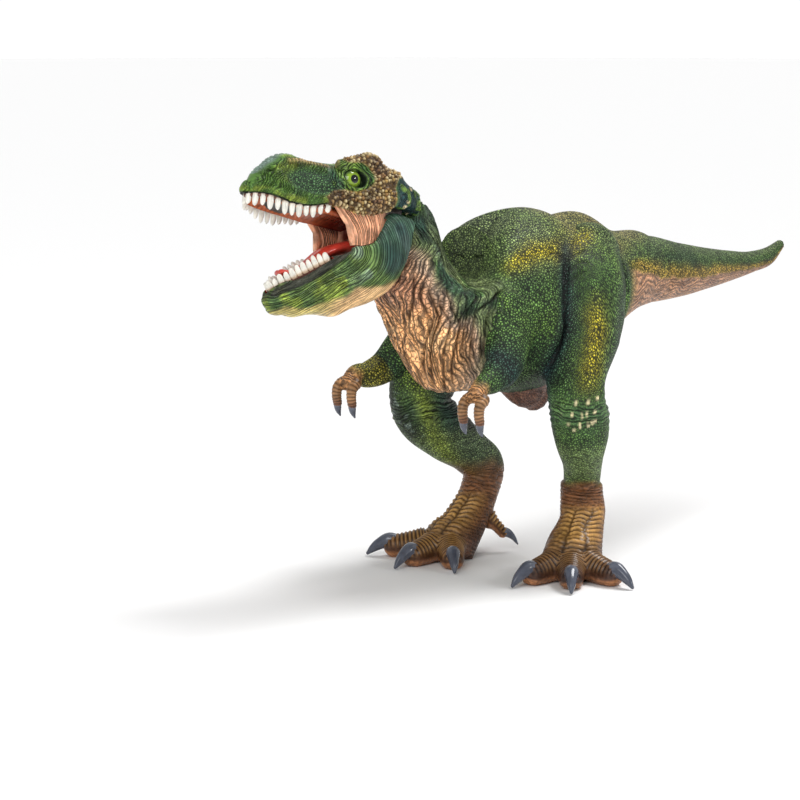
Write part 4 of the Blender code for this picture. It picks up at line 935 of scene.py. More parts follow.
def back_dips(points, out):
    """How far the back drops below its tube: behind the neck, and before the tail."""
    x, y, z = points[..., 0], np.abs(points[..., 1]), points[..., 2]
    place = x + 63.0 + 0.9 * y
    drop = np.interp(place, (0, 4, 8, 12, 16, 20, 24, 30), (8.5, 9.8, 10.8, 10.4, 8.0, 4.6, 2.0, 0.0))
    neck = np.where(place < 0, 8.5 * bell(place, 4.2), drop)
    neck = neck * ramp(84, 110, z) * ramp(-0.1, 0.5, out[..., 2])
    rump = 3.0 * bell(x - 9.0, 9.5) - 1.2 * bell(x - 29.0, 6.0)
    return neck + rump * ramp(94, 103, z)


def trunk_paint(points, seen):
    """Paint by place: green above, tan on throat and chest, teal in the creases, partly as painted shade,
    yellow on the flank.
    """
    side = points.copy()
    side[..., 1] = -np.abs(side[..., 1])
    x, z = side[..., 0], side[..., 2]
    wander = noise(points, 7.0, 3) * 2.2 + noise(points, 2.5, 5) * 0.8
    flat = plane(x + wander * 0.6, z + wander)
    paint = coat(points.shape[:2], "green")
    high = ramp(92, 108, z + wander) * ramp(-75, -45, x)
    paint = brush(paint, "grey_green", high * 0.75)
    paint = brush(paint, "knob", 0.25 * blot(side, (-8.0, -14.0, 104.0), (16.0, 16.0, 9.0)))
    paint = brush(paint, "knob", 0.30 * ramp(-34, -20, x + wander) * ramp(100, 106, z))
    paint = brush(paint, "bright", 0.40 * ramp(0.2, 0.8, noise(points, 9.0, 11) + 0.2))
    paint = brush(paint, "deep", 0.6 * ramp(-0.1, 0.6, noise(points, 12.0, 12)) * (1 - 0.7 * high))
    paint = brush(paint, "deep", 0.55 * blot(side, (-52.0, -19.0, 96.0), (6.0, 20.0, 7.0)))
    paint = brush(paint, "deep", 0.5 * ramp(71, 62, z + wander))
    paint = brush(paint, "yellow", yellow_marks(seen, wander))
    neck = ramp(-56, -66, x + wander * 0.5)
    paint = brush(paint, "teal", 0.70 * neck * ramp(-0.5, 0.3, noise(points, 7.0, 15)))
    paint = brush(paint, "bright", 0.6 * neck * ramp(119, 124, z))
    pale = ramp(-0.4, 0.3, noise(points, 5.0, 16)) * ramp(118, 108, z)
    paint = brush(paint, "grey_green", 0.70 * ramp(-50, -60, x + wander * 0.5) * pale)
    # Teal along the thigh's crease: the toy's teal, and painted shade in the groove
    crease, _ = stroke(seen, THIGH_CREASE)
    paint = brush(paint, "teal", 0.90 * bell(crease, 9.0))
    level = z - 93.2 + 0.21 * (x - 20.0) + wander * 0.5
    root = ramp(4, 12, x)
    band = root * bell(level, 2.4)
    paint = brush(brush(paint, "yellow", 0.85 * band), "ochre", 0.45 * band)
    under = root * ramp(-0.6, -2.4, level)
    paint = brush(paint, "tan", under)
    paint = brush(paint, "pinkish", 0.6 * under)
    chest = inside(flat, CHEST_EDGE, 2.4)
    paint = brush(paint, "tan_grey", chest)
    inner = inside(plane(flat[..., 0] + 3.0, flat[..., 1] + 3.5), CHEST_EDGE, 3.0)
    paint = brush(paint, "tan", inner)
    paint = brush(paint, "pinkish", 0.75 * inner * ramp(82, 93, z + wander))
    paint = brush(paint, "tan_light", 0.8 * inner * ramp(-0.1, 0.5, noise(points, 6.0, 9))
                  * ramp(90, 80, z))
    return paint, chest, under


def bend_lines(x, y, wide, tall, salt):
    """Folds as long cells: how deep the groove between them is, from 0 to 1, a bell curve of the difference
    between the distances to the two nearest cell centres."""
    warp = noise(plane(x, y), 9.0, salt) * 1.6
    first, second, _ = cells(plane((x + warp) / wide, y / tall), 1.0, salt, flat=True)
    return bell(second - first, 0.16)


def make_trunk():
    """The neck and torso: pebbled flanks, and long folds that fan out from the nape to the chest. The tube
    swells out to the limbs' tubes, moves along its normals by cosine ripples over the fold places and by
    grooves along the drawn creases, and bell curves drop its back and fill its keel and chest."""
    points, along, turn = TRUNK_TUBE.grid(0.46, 300, domes=(2, 4))
    points = unfold(points)
    others = [LEG_TUBES["left"], LEG_TUBES["right"], ARM_TUBES["left"], ARM_TUBES["right"], BULGE_TUBE]
    points = merge(points, others, [5.0, 5.0, 3.5, 3.5, 3.0])
    out = normals(points)
    side = points.copy()
    side[..., 1] = -np.abs(side[..., 1])
    x, z = side[..., 0], side[..., 2]
    seen = picture(side)
    paint, chest, under = trunk_paint(points, seen)
    fore = np.maximum(ramp(-50, -62, x + noise(points, 6.0, 23) * 2.5), chest)
    place = fold_place(side)
    wave = place + noise(points, 10.0, 21) * 1.2
    big = bell(((wave / FOLD_SPACING + 0.5) % 1.0 - 0.5) * FOLD_SPACING, 0.55)
    big = big * fore * ramp(-0.5, 0.2, noise(points, 16.0, 22)) * (place > -10) * (place < 22)
    ripple = np.cos(wave / FOLD_SPACING * 2 * math.tau) * fore
    creases = sum(groove(seen, line, 1.5) for line in CHEST_CREASES) * fore
    rim = sum(groove(seen + np.array([2.6, 0.0]), line, 2.0) for line in CHEST_CREASES) * fore
    arm_line, thigh_line = groove(seen, ARM_CREASE, 1.8), groove(seen, THIGH_CREASE, 2.2)
    branches = sum(groove(seen, line, 2.0) for line in THIGH_BRANCHES)
    lift = -0.50 * big + 0.28 * ripple + 0.35 * noise(points, 14.0, 31) * (1 - fore)
    lift = lift - 0.9 * np.minimum(creases, 1) + 0.35 * np.minimum(rim, 1)
    lift = lift - 0.8 * arm_line - 1.5 * thigh_line - 0.5 * branches
    lift = lift + 2.0 * blot(side, (-41.0, -27.0, 80.0), (5.0, 12.0, 11.0))
    lift = lift + 2.4 * blot(side, (-75.5, 0.0, 121.0), (6.0, 11.0, 6.0))
    wash = (0.65 - 0.30 * chest) * big + 0.9 * creases + 0.85 * arm_line + 0.98 * thigh_line
    wash = wash + 0.6 * branches
    pebbles = (1 - fore + 0.35 * fore * (1 - chest)) * (1 - under)
    points = points + out * lift[..., None]
    keel = 4.6 * blot(points, (-69.0, 0.0, 67.0), (9.0, 14.0, 8.0))
    brisket = 3.6 * blot(points, (-84.0, 0.0, 86.0), (12.0, 14.0, 9.0))
    points = points + np.stack([brisket, 0 * x, -back_dips(points, out) - keel], axis=-1)
    lower = x > 0
    across = np.where(lower, np.abs(turn - UNDERSIDE) * 10.0 / 1.3, wave / FOLD_WIDTH)
    weave = (across, np.where(lower, along / 1.6, z / 2.2), fore * (0.75 + 0.2 * chest) + 0.9 * under,
             fore + 0.8 * under)
    return finished(points, paint, pebbles, wash, coarse=0.55, weave=weave)


def make_bulge():
    """The lump under the belly, between the legs: a short tube with a cracked, netted skin."""
    points, along, turn = BULGE_TUBE.grid(0.5, 90, domes=(8, 10))
    points = merge(points, [TRUNK_TUBE], [3.0])
    weave = (np.abs(turn - UNDERSIDE) * 5.5 / 0.95, along / 0.95, 1.0, 0.45)
    lumps = noise(points, 1.6, 5)
    points = points + normals(points) * (0.25 * lumps)[..., None]
    paint = coat(points.shape[:2], "net_brown")
    paint = brush(paint, "pinkish", 0.55 + 0.4 * ramp(-0.2, 0.4, lumps))
    return finished(points, paint, 0.3, 0.0, weave=weave)


def make_tail():
    """The tail: pebble rows above, a yellow line along its side, tan folded skin below. The rows are a
    cosine of the length along it."""
    points, along, turn = TAIL_TUBE.grid(0.5, 150, domes=(1, 10))
    out = normals(points)
    height = np.sin(turn)
    wander = noise(points, 6.0, 3) * 0.10 + noise(points, 2.0, 4) * 0.05
    line = -0.08 - 0.30 * ramp(60, 110, along)
    level = height - line + wander
    paint = coat(points.shape[:2], "green")
    paint = brush(paint, "grey_green", 0.5 * ramp(0.3, 0.9, height))
    paint = brush(paint, "deep", 0.6 * ramp(0.1, 0.7, noise(points, 9.0, 12)))
    above = 0.45 * bell(level - 0.45, 0.22)
    paint = brush(paint, "teal", above * ramp(40, 5, along))
    band = bell(level, 0.24)
    paint = brush(brush(paint, "yellow", 0.9 * band), "ochre", 0.5 * band)
    under = ramp(-0.06, -0.22, level)
    paint = brush(paint, "tan", under)
    paint = brush(paint, "pinkish", 0.55 * under)
    stains = 0.5 * bell(level - 0.28, 0.14)
    paint = brush(paint, "black", stains * ramp(-0.1, 0.4, noise(points, 8.0, 33)))
    paint = brush(paint, "red_brown", 0.45 * under * ramp(0.0, 0.6, noise(points, 4.0, 8)))
    rings = 0.5 + 0.5 * np.cos((along + 2.0 * height) / 1.3 * math.tau + noise(points, 3.0, 6) * 1.0)
    lift = -0.12 * rings * (1 - under)
    wash = 0.42 * rings * (1 - under)
    weave = (np.abs(turn - UNDERSIDE) * 9.0 / 1.3, along / 2.2, 0.9 * under, 0.8 * under)
    points = points + out * lift[..., None]
    points[..., 2] += 0.8 * blot(points, (34.0, 0.0, 100.0), (7.0, 20.0, 5.0))
    return finished(points, paint, 0.85 * (1 - under), wash, coarse=0.6, weave=weave)


def level_ways(turn):
    """The level directions ahead and across for a toe that is turned from -X, in radians."""
    return np.array([-math.cos(turn), -math.sin(turn), 0.0]), (-math.sin(turn), math.cos(turn), 0.0)


def toe_tubes(name):
    """A foot's three toes and its spur, with their claws, as tubes."""
    rows = leg_rows(LEFT_LEG_SHARES if name == "left" else RIGHT_LEG_SHARES, -1 if name == "left" else 1)
    centre = np.array([rows[-1][0], rows[-1][1], 0.0])
    rise = np.array([0.0, 0.0, 1.0])
    toes, claws = [], []
    for turn in np.radians(TOE_TURNS[name]):
        ahead, across = level_ways(turn)
        toe = [(*(centre + ahead * TOE_LENGTH * a + rise * TOE_HEIGHT / 2 * up), TOE_WIDTH / 2 * w,
                TOE_HEIGHT / 2 * h) for a, up, w, h in TOE_SHARES]
        tip, reach = TOE_LENGTH - CLAW_WIDTH / 2, CLAW_LENGTH + CLAW_WIDTH / 2
        claw = [(*(centre + ahead * (tip + reach * a) + rise * TOE_HEIGHT / 2 * up), CLAW_WIDTH / 2 * w,
                 CLAW_WIDTH / 2 * h) for a, up, w, h in CLAW_SHARES]
        toes.append(Tube(toe, side=across, powers=(2.0, 2.6)))
        claws.append(Tube(claw, side=across))
    ahead, across = level_ways(math.radians(SPUR_TURNS[name]))
    start = (rows[-3][:3] + rows[-2][:3]) / 2
    spur = [(*(start + ahead * SPUR_LENGTH * a + rise * SPUR_LENGTH * up), SPUR_WIDTH / 2 * w,
             SPUR_WIDTH / 2 * w) for a, up, w in SPUR_SHARES]
    end = np.array(spur[-1][:3])
    claw = [(*(end + ahead * SPUR_CLAW_LENGTH * a + rise * SPUR_CLAW_LENGTH * up), SPUR_CLAW_WIDTH / 2 * w,
             SPUR_CLAW_WIDTH / 2 * w) for a, up, w in SPUR_CLAW_SHARES]
    toes.append(Tube(spur, side=across))
    claws.append(Tube(claw, side=across))
    return toes, claws


def on_floor(points):
    """Points no lower than the soles, just clear of the floor."""
    points = points.copy()
    points[..., 2] = np.maximum(points[..., 2], SOLE_HEIGHT)
    return points


def make_leg(name, hand, toes):
    """One leg: pebbled thigh, wrinkled and spotted knee, smooth shin, and scutes down the foot. The
    wrinkles are a cosine of height, and the scutes a saw-tooth of the length run down the skin."""
    points, _, _ = LEG_TUBES[name].grid(0.45, 190, domes=(10, 2))
    points = unfold(points)
    points = merge(points, [TRUNK_TUBE, ARM_TUBES[name]] + toes, [5.0, 2.0] + [4.0] * 3 + [2.0])
    out = normals(points)
    foot = math.radians(FOOT_TURNS[name] if name == "left" else -FOOT_TURNS[name])
    front = np.array([-math.cos(foot), -math.sin(foot)])
    middle = points.mean(axis=1, keepdims=True)
    offset = (points - middle)[..., :2]
    facing = np.arctan2(offset @ np.array([-front[1], front[0]]), offset @ front)
    height = points[..., 2]
    wander = noise(points, 6.0, 3)
    outer = ramp(0.0, 6.0, hand * (points[..., 1] - middle[..., 1]))
    paint = coat(points.shape[:2], "green")
    paint = brush(paint, "grey_green", 0.6 * ramp(96, 106, height))
    paint = brush(paint, "bright", 0.4 * ramp(0.0, 0.7, noise(points, 8.0, 5)))
    paint = brush(paint, "deep", 0.5 * ramp(0.1, 0.7, noise(points, 10.0, 6)))
    mirror = points * np.array([1.0, -hand, 1.0])
    seen = picture(mirror)
    gap, share = stroke(seen, YELLOW_LINE)
    gap = gap / 3.3
    fade = ramp(0.0, 0.45, share) * (1 - 0.5 * ramp(0.7, 1.0, share)) * outer
    paint = brush(paint, "yellow", 0.95 * fade * bell(gap + wander, 3.2))
    paint = brush(paint, "yellow", yellow_marks(seen, wander) * ramp(96, 100, height))
    # Teal along the thigh's crease, and a wider band of it below the hip: the toy's teal, and painted shade
    # in the groove
    crease, _ = stroke(seen, THIGH_CREASE)
    paint = brush(paint, "teal", 0.90 * bell(crease, 9.0))
    paint = brush(paint, "teal", 0.45 * bell(crease, 22.0) * ramp(96, 88, height))
    inner = ramp(1.0, 7.0, -hand * (points[..., 1] - middle[..., 1]))
    paint = brush(paint, "teal", 0.7 * inner * ramp(96, 84, height))
    # The leg's rear side is darker: painted shade
    rear = ramp(2.0, 8.0, points[..., 0] - middle[..., 0])
    paint = brush(paint, "deep", 0.6 * rear)
    shin = ramp(46, 40, height) * ramp(26, 32, height)
    paint = brush(paint, "grey_green", 0.40 * shin)
    if name == "left":
        ankle = ramp(30.2, 27.2, height + wander)
    else:
        ankle = ramp(34, 25, height + wander * 2)
    paint = brush(paint, "brown", ankle)
    paint = brush(paint, "dark_brown", 0.30 * ankle * ramp(20, 26, height))
    plate = np.exp(-((facing / 1.25) ** 6)) * ramp(22, 18.5, height)
    worn = 0.75 + 0.25 * ramp(-0.3, 0.3, noise(points, 2.0, 35))
    paint = brush(paint, "bar", 0.9 * plate * worn)
    # Dark plum low on the foot; the left foot takes more of it than the right, and that extra darkness is
    # painted shade
    paint = brush(paint, "plum", (0.90 if name == "left" else 0.50) * ramp(15, 6, height))
    # Scutes: three columns of plates down the front of the foot
    run = np.linalg.norm(np.diff(points, axis=0), axis=-1)
    run = np.vstack([np.zeros((1, run.shape[1])), np.cumsum(run, axis=0)])
    run = run - run[np.abs(height.mean(axis=1) - 24.0).argmin()]
    rows = run / 1.75 + 0.22 * np.cos(facing * 7.0) + noise(points, 5.0, 17) * 0.25
    across = np.abs((rows % 1.0) - 0.5) * 2
    seam = np.abs(np.abs(facing + 0.08 * noise(points, 3.0, 19)) - 0.45)
    plate_gap = np.maximum(ramp(0.36, 0.80, across), bell(seam, 0.09))
    bands = (run / 1.3 + noise(points, 4.0, 18) * 0.5) % 1.0
    rings = ramp(0.55, 0.95, np.abs(bands - 0.5) * 2)
    upper = ankle * (1 - plate)
    knee_height = 54 if name == "left" else 50
    knee = bell(height - knee_height, 5.0)
    wrinkle = 0.5 + 0.5 * np.cos((height - knee_height) / 2.3 * math.tau + noise(points, 5.0, 9) * 1.6)
    lift = -0.35 * plate * plate_gap - 0.30 * upper * rings - 0.45 * knee * wrinkle
    lift = lift + 0.25 * plate * (1 - across) + 0.3 * noise(points, 13.0, 32) * (1 - ankle)
    if name == "left":
        lift = lift + 0.9 * ramp(28.6, 27.2, height) * ramp(14, 20, height)
    wash = 0.95 * plate * plate_gap + 0.85 * upper * rings + 0.30 * knee * wrinkle
    crease_line = groove(seen, THIGH_CREASE, 2.2)
    branches = sum(groove(seen, branch, 1.7) for branch in THIGH_BRANCHES)
    wash = wash + 0.98 * crease_line + 0.6 * branches
    lift = lift - 1.2 * crease_line - 0.5 * branches
    lift = lift - 1.6 * blot(mirror, (-43.0, -28.0, 79.0), (5.0, 9.0, 10.0))
    shift = picture(np.array(KNEE_MIDDLES[name])) - picture(np.array(KNEE_MIDDLES["left"]))
    spots = np.zeros_like(height)
    for dot in KNEE_DOTS:
        reach = np.hypot(*np.moveaxis(seen - np.array(dot) - shift, -1, 0))
        spots = np.maximum(spots, ramp(2.4, 1.3, reach) * outer)
    paint = brush(paint, "teal", 0.40 * knee)
    paint = brush(paint, "cream", spots)
    lift = lift + 0.30 * spots
    # On the right knee's near side: black painted shade along a line with pale painted highlights in it, a
    # yellow-green painted highlight beside it, and dark brown painted shade in the hollow behind the knee
    if name == "right":
        shown = picture(points)
        shade, _ = stroke(shown, KNEE_SHADE)
        knee_highlight, _ = stroke(shown, KNEE_HIGHLIGHT)
        pit, _ = stroke(shown, KNEE_HOLLOW_SHADE)
        near = ramp(4.0, -2.0, points[..., 1] - middle[..., 1])
        paint = brush(paint, "rim", 0.60 * near * bell(knee_highlight, 10.0) * (1 - ankle))
        paint = brush(paint, "black", 0.80 * bell(shade, 10.0))
        pale_highlight_specks = ramp(0.40, 0.6, noise(points, 1.4, 34))
        paint = brush(paint, "snout_grey", 0.5 * bell(shade, 10.0) * pale_highlight_specks)
        paint = brush(paint, "dark_brown", 0.65 * near * bell(pit, 7.0))
    big = bell(gap, 4.5)
    points = points + out * lift[..., None]
    if name == "left":
        pull = np.interp(height, *LEFT_LEG_PULL)
        points[..., 0] -= pull * ramp(-3.0, 8.0, points[..., 0] - middle[..., 0])
    points[..., 2] -= back_dips(points, out) * ramp(94, 100, height)
    pebbles = (1 - ankle) * (1.0 - 0.25 * shin) * (1 - 0.75 * knee) * (1 - spots)
    lines = np.maximum(knee, 0.30 * ankle * (1 - 0.8 * plate)) * (1 - spots)
    lines = np.maximum(lines, 0.45 * shin * (1 - ankle))
    weave = (run / 1.3, facing * 7.0 / 1.3, 0.5 * upper * ramp(24, 18, height), lines)
    return finished(on_floor(points), paint, pebbles, wash * (1 - spots), gloss=0.5 * ankle,
                    coarse=0.45 + 0.35 * big, weave=weave)


def make_toe(tube, neighbours, reach, dark, spur=False):
    """One toe: scutes across its top, a padded sole and darker skin beside its claw. The scutes are a
    saw-tooth of the length along it, and the sole's net lies between jittered cells."""
    points, along, turn = tube.grid(0.36, 72, domes=(4, 10))
    points = merge(points, neighbours, reach)
    if not spur:
        # The root sinks 3 mm into the foot
        points[..., 2] -= 3.0 * ramp(7.0, 1.0, along)
    out = normals(points)
    rows = along / (1.25 if spur else 1.45)
    across = np.abs((rows % 1.0) - 0.5) * 2
    top = ramp(-0.15, 0.45, np.sin(turn))
    gap = ramp(0.28, 0.72, across)
    end = ramp(0.55, 1.0, along / along.max())
    paint = brush(coat(points.shape[:2], "brown"), "bar", 0.75 * top * (1 - across**2) * (1 - 0.5 * end))
    # Plum by the given share, deepest by the claw; on the left foot part of it is painted shade
    paint = brush(paint, "plum", dark * (0.65 + 0.40 * end))
    paint = brush(paint, "dark_brown", 0.55 * (1 - top) * ramp(-0.55, -0.1, np.sin(turn)))
    pad = ramp(-0.10, -0.45, np.sin(turn))
    paint = brush(paint, "pad", 0.85 * pad * ramp(0.25, 0.6, along / along.max()))
    first, second, _ = cells(points, 1.1, 3)
    net = bell(second - first, 0.16) * (1 - top)
    lift = -0.30 * gap * top - 0.12 * net + 0.15 * top * (1 - across)
    wash = 0.95 * gap * top + 0.5 * net
    return finished(on_floor(points + out * lift[..., None]), paint, 0.0, wash, gloss=0.6)


def make_arm(name, fingers):
    """One arm: pebbled, teal at the elbow and olive on the forearm, brown and ringed at the hand."""
    points, along, turn = ARM_TUBES[name].grid(0.4, 110, domes=(8, 6))
    points = merge(points, [TRUNK_TUBE, LEG_TUBES[name]] + fingers, [3.5, 2.0, 1.6, 1.6])
    out = normals(points)
    share = along / ARM_TUBES[name].reach[-1]
    paint = coat(points.shape[:2], "green")
    paint = brush(paint, "bright", 0.4 * ramp(0.0, 0.6, noise(points, 6.0, 5)))
    left = name == "left"
    paint = brush(paint, "teal", (0.9 if left else 0.6) * bell(share - 0.60, 0.17))
    if not left:
        paint = brush(paint, "olive", 0.9 * ramp(0.52, 0.66, share))
    start = 0.88 if left else 0.86
    hand_skin = ramp(start, start + 0.1, share + noise(points, 3.0, 4) * 0.03)
    paint = brush(paint, "tan", 0.9 * hand_skin)
    paint = brush(paint, "brown", 0.65 * hand_skin)
    points = points + out * (0.15 * noise(points, 6.0, 8))[..., None]
    weave = (along / 0.9, turn * 3.0, 0.0, 0.9 * hand_skin)
    return finished(points, paint, 1 - hand_skin, 0.0, coarse=0.6, weave=weave)


def finger_tubes(name, hand):
    """A hand's two fingers and their claws, as tubes that curve down from the wrist."""
    rows = scaled(LEFT_ARM_SHARES if name == "left" else RIGHT_ARM_SHARES, BODY[0], hand * BODY[1], BODY[2])
    wrist = rows[-1][:3] + np.array([0.0, 0.0, -1.4 if name == "left" else 0.0])
    tubes, claws = [], []
    for share in (-hand * 0.98, hand * 0.98):
        start = wrist + np.array([0.0, FINGER_WIDTH * share, 0.0])
        reach = np.array([-FINGER_LENGTH, 0.0, -FINGER_LENGTH])
        finger = [(*(start + reach * np.array([a, 0.0, d])), FINGER_WIDTH / 2 * w, FINGER_WIDTH / 2 * w)
                  for a, d, w in FINGER_SHARES]
        end = np.array(finger[-1][:3])
        reach = np.array([-FINGER_CLAW_LENGTH, 0.0, -FINGER_CLAW_LENGTH])
        half = FINGER_CLAW_WIDTH / 2
        claw = [(*(end + reach * np.array([a, 0.0, d])), half * w, half * w)
                for a, d, w in FINGER_CLAW_SHARES]
        tubes.append(Tube(finger))
        claws.append(Tube(claw))
    return tubes, claws


def make_finger(tube, arm):
    """One finger, ringed with dark creases, a cosine of the length along it."""
    points, along, _ = tube.grid(0.25, 48, domes=(3, 6))
    points = merge(points, [arm], [1.6])
    rings = 0.5 + 0.5 * np.cos(along / 0.95 * math.tau + noise(points, 2.0, 6) * 1.6)
    rings = rings**1.4
    paint = brush(coat(points.shape[:2], "tan"), "brown", 0.35)
    paint = brush(paint, "red_brown", 0.85 * ramp(0.45, 0.9, along / along.max()))
    points = points + normals(points) * (-0.16 * rings)[..., None]
    return finished(points, paint, 0.0, 0.9 * rings, gloss=0.4)


def make_claw(name, tube, material):
    """A curved horn claw with a paler root, and faint ridges, a cosine of the angle round it."""
    points, along, turn = tube.grid(0.25, 40, domes=(2, 6))
    ridges = 0.03 * np.cos(turn * 9)
    points = points + normals(points) * ridges[..., None]
    paint = brush(coat(points.shape[:2], "claw"), "claw_pale", ramp(0.5, 0.1, along / along.max()))
    grid = finished(on_floor(points), paint, 0, 0)
    skin(name, [grid], "figure", [name[:-5]], material)


def build_body(vinyl, horn):
    """Every skin of the trunk, the tail and the limbs, and their claws."""
    skin("trunk_shell_skin", [make_trunk(), make_bulge()], "figure", ["trunk_shell"], vinyl)
    skin("tail_skin", [make_tail()], "figure", ["tail"], vinyl)
    for name, hand in (("left", -1), ("right", 1)):
        toes, claws = toe_tubes(name)
        leg = LEG_TUBES[name]
        grids = [make_leg(name, hand, toes)]
        for k, toe in enumerate(toes):
            others = [leg] + [other for other in toes[:3] if other is not toe] if k < 3 else [leg]
            # How much dark plum a toe takes: the left toes take more than the right, and the extra darkness
            # is painted shade
            dark = (0.85 if name == "left" else 0.40) * (k < 3)
            grids.append(make_toe(toe, others, [4.0] + [2.5] * (len(others) - 1), dark, spur=k == 3))
        skin(f"{name}_leg_skin", grids, "figure", [f"{name}_leg"], vinyl)
        for label, claw in zip(("inner", "middle", "outer", "spur"), claws):
            make_claw(f"{name}_{label}_claw_horn", claw, horn)
        fingers, nails = finger_tubes(name, hand)
        grids = [make_arm(name, fingers)] + [make_finger(f, ARM_TUBES[name]) for f in fingers]
        skin(f"{name}_arm_skin", grids, "figure", [f"{name}_arm"], vinyl)
        for label, claw in zip(("inner", "outer"), nails):
            make_claw(f"{name}_{label}_finger_claw_horn", claw, horn)


# Head

ASIDE, AHEAD = (0.0, 1.0, 0.0), (1.0, 0.0, 0.0)
JAW_POWERS = (4.0, 2.3)
SKULL_TUBE = Tube(head_rows(SKULL_SHARES), side=ASIDE, powers=(2.4, 5.0), egg=0.08, ahead=AHEAD)
JAW_TUBE = Tube(head_rows(JAW_SHARES), side=ASIDE, powers=JAW_POWERS, ahead=AHEAD)


def tool(name, points, frame_of, colour="throat"):
    """A closed cutting tool from rings in a head frame, painted as the faces that it leaves."""
    shape = points.shape[:2]
    grid = finished(frame_of(points), coat(shape, colour), 0.0, 0.0, gloss=0.6)
    return skin(name, [grid], None, None, VINYL, corners=True)


def slab_rings(outline, low, high):
    """The rings of a level plate, from its outline in plan; both faces close in to a fiftieth of it."""
    outline = np.array(outline, dtype=float)
    middle = outline.mean(axis=0)
    rings = [np.column_stack([middle + (outline - middle) * share, np.full(len(outline), level)])
             for level, share in ((low, 0.02), (low, 1.0), (high, 1.0), (high, 0.02))]
    return np.array(rings)


def prism_rings(outline, low, high):
    """The rings of a plate whose outline lies in the XZ plane of a head frame."""
    return slab_rings(outline, low, high)[..., [0, 2, 1]]


def carve(item, tools):
    """Cuts closed tools out of a piece with exact Booleans, keeps the result and drops the tools."""
    for cutter in tools:
        change = item.modifiers.new("cut", "BOOLEAN")
        change.operation = "DIFFERENCE"
        change.solver = "EXACT"
        change.object = cutter
    ready = item.evaluated_get(bpy.context.evaluated_depsgraph_get())
    mesh = bpy.data.meshes.new_from_object(ready)
    item.modifiers.clear()
    old, item.data = item.data, mesh
    mesh.name = item.name
    bpy.data.meshes.remove(old)
    for cutter in tools:
        spare = cutter.data
        bpy.data.objects.remove(cutter)
        bpy.data.meshes.remove(spare)
    mesh.shade_smooth()
    mesh.set_sharp_from_angle(angle=math.radians(SHARP_TURN))


def swept_jaws(turns):
    """The lower jaw's room, with its gap, at some turns of its hinge."""
    tools = []
    rows = head_rows(JAW_SHARES) + np.array([0, 0, 0, GAP, GAP])
    room = Tube(rows, side=ASIDE, powers=JAW_POWERS, ahead=AHEAD)
    points, _, _ = room.grid(0.8, 72, domes=(1, 4), bulge=(0.1, 1.0))
    for turn in turns:
        swing = JAW_TURN @ turn_about("Y", -turn)
        tools.append(tool("jaw_room", points, lambda p: p @ swing.T + PIN, "dark_brown"))
    return tools


def mouth_line(rows, inset, start):
    """The line that runs inside a jaw's outline in plan, from its left rear round to its right."""
    fine = smooth_rows(rows, 8)
    turns = np.radians(90.0) * np.arange(1, 9) / 8
    reach = min(fine[-1, 3], fine[-1, 4])
    along = np.append(fine[:, 0], fine[-1, 0] + reach * np.sin(turns))
    across = np.append(fine[:, 3], fine[-1, 3] * np.cos(turns))
    step = unit(np.stack([np.gradient(along), np.gradient(across)], axis=1))
    along, across = along + step[:, 1] * inset, across - step[:, 0] * inset
    kept = (across > 0) & (along > start * HEAD[0])
    along, across = along[kept], across[kept]
    front = along.max() + across[-1] / 2
    along = np.append(along, [front, *along[::-1]])
    across = np.append(across, [0.0, *-across[::-1]])
    return np.column_stack([along, across])


def evenly(places, count):
    """Count places along a line, evenly spaced by length."""
    reach = np.append(0.0, np.cumsum(np.linalg.norm(np.diff(places, axis=0), axis=1)))
    wanted = np.linspace(0.0, reach[-1], count)
    return np.column_stack([np.interp(wanted, reach, column) for column in places.T])


def palate_outline(inset, rear):
    """The palate's outline in plan: the mouth line round the front, and a straight rear end."""
    line = evenly(mouth_line(head_rows(SKULL_SHARES), LIP_WALL + inset, UPPER_START), 27)
    half = min(line[0][1], PALATE_REAR * HEAD[1])
    back = rear * HEAD[0]
    return np.vstack([[(back, half - inset + LIP_WALL)], line, [(back, -half + inset - LIP_WALL)]])


def knobs(points, size, salt):
    """Round lumps: their domes, the gaps between them and a number for each."""
    first, second, mark = cells(points, size, salt)
    return np.clip(1 - (first / 0.62) ** 2, 0, 1), bell(second - first, 0.17), mark


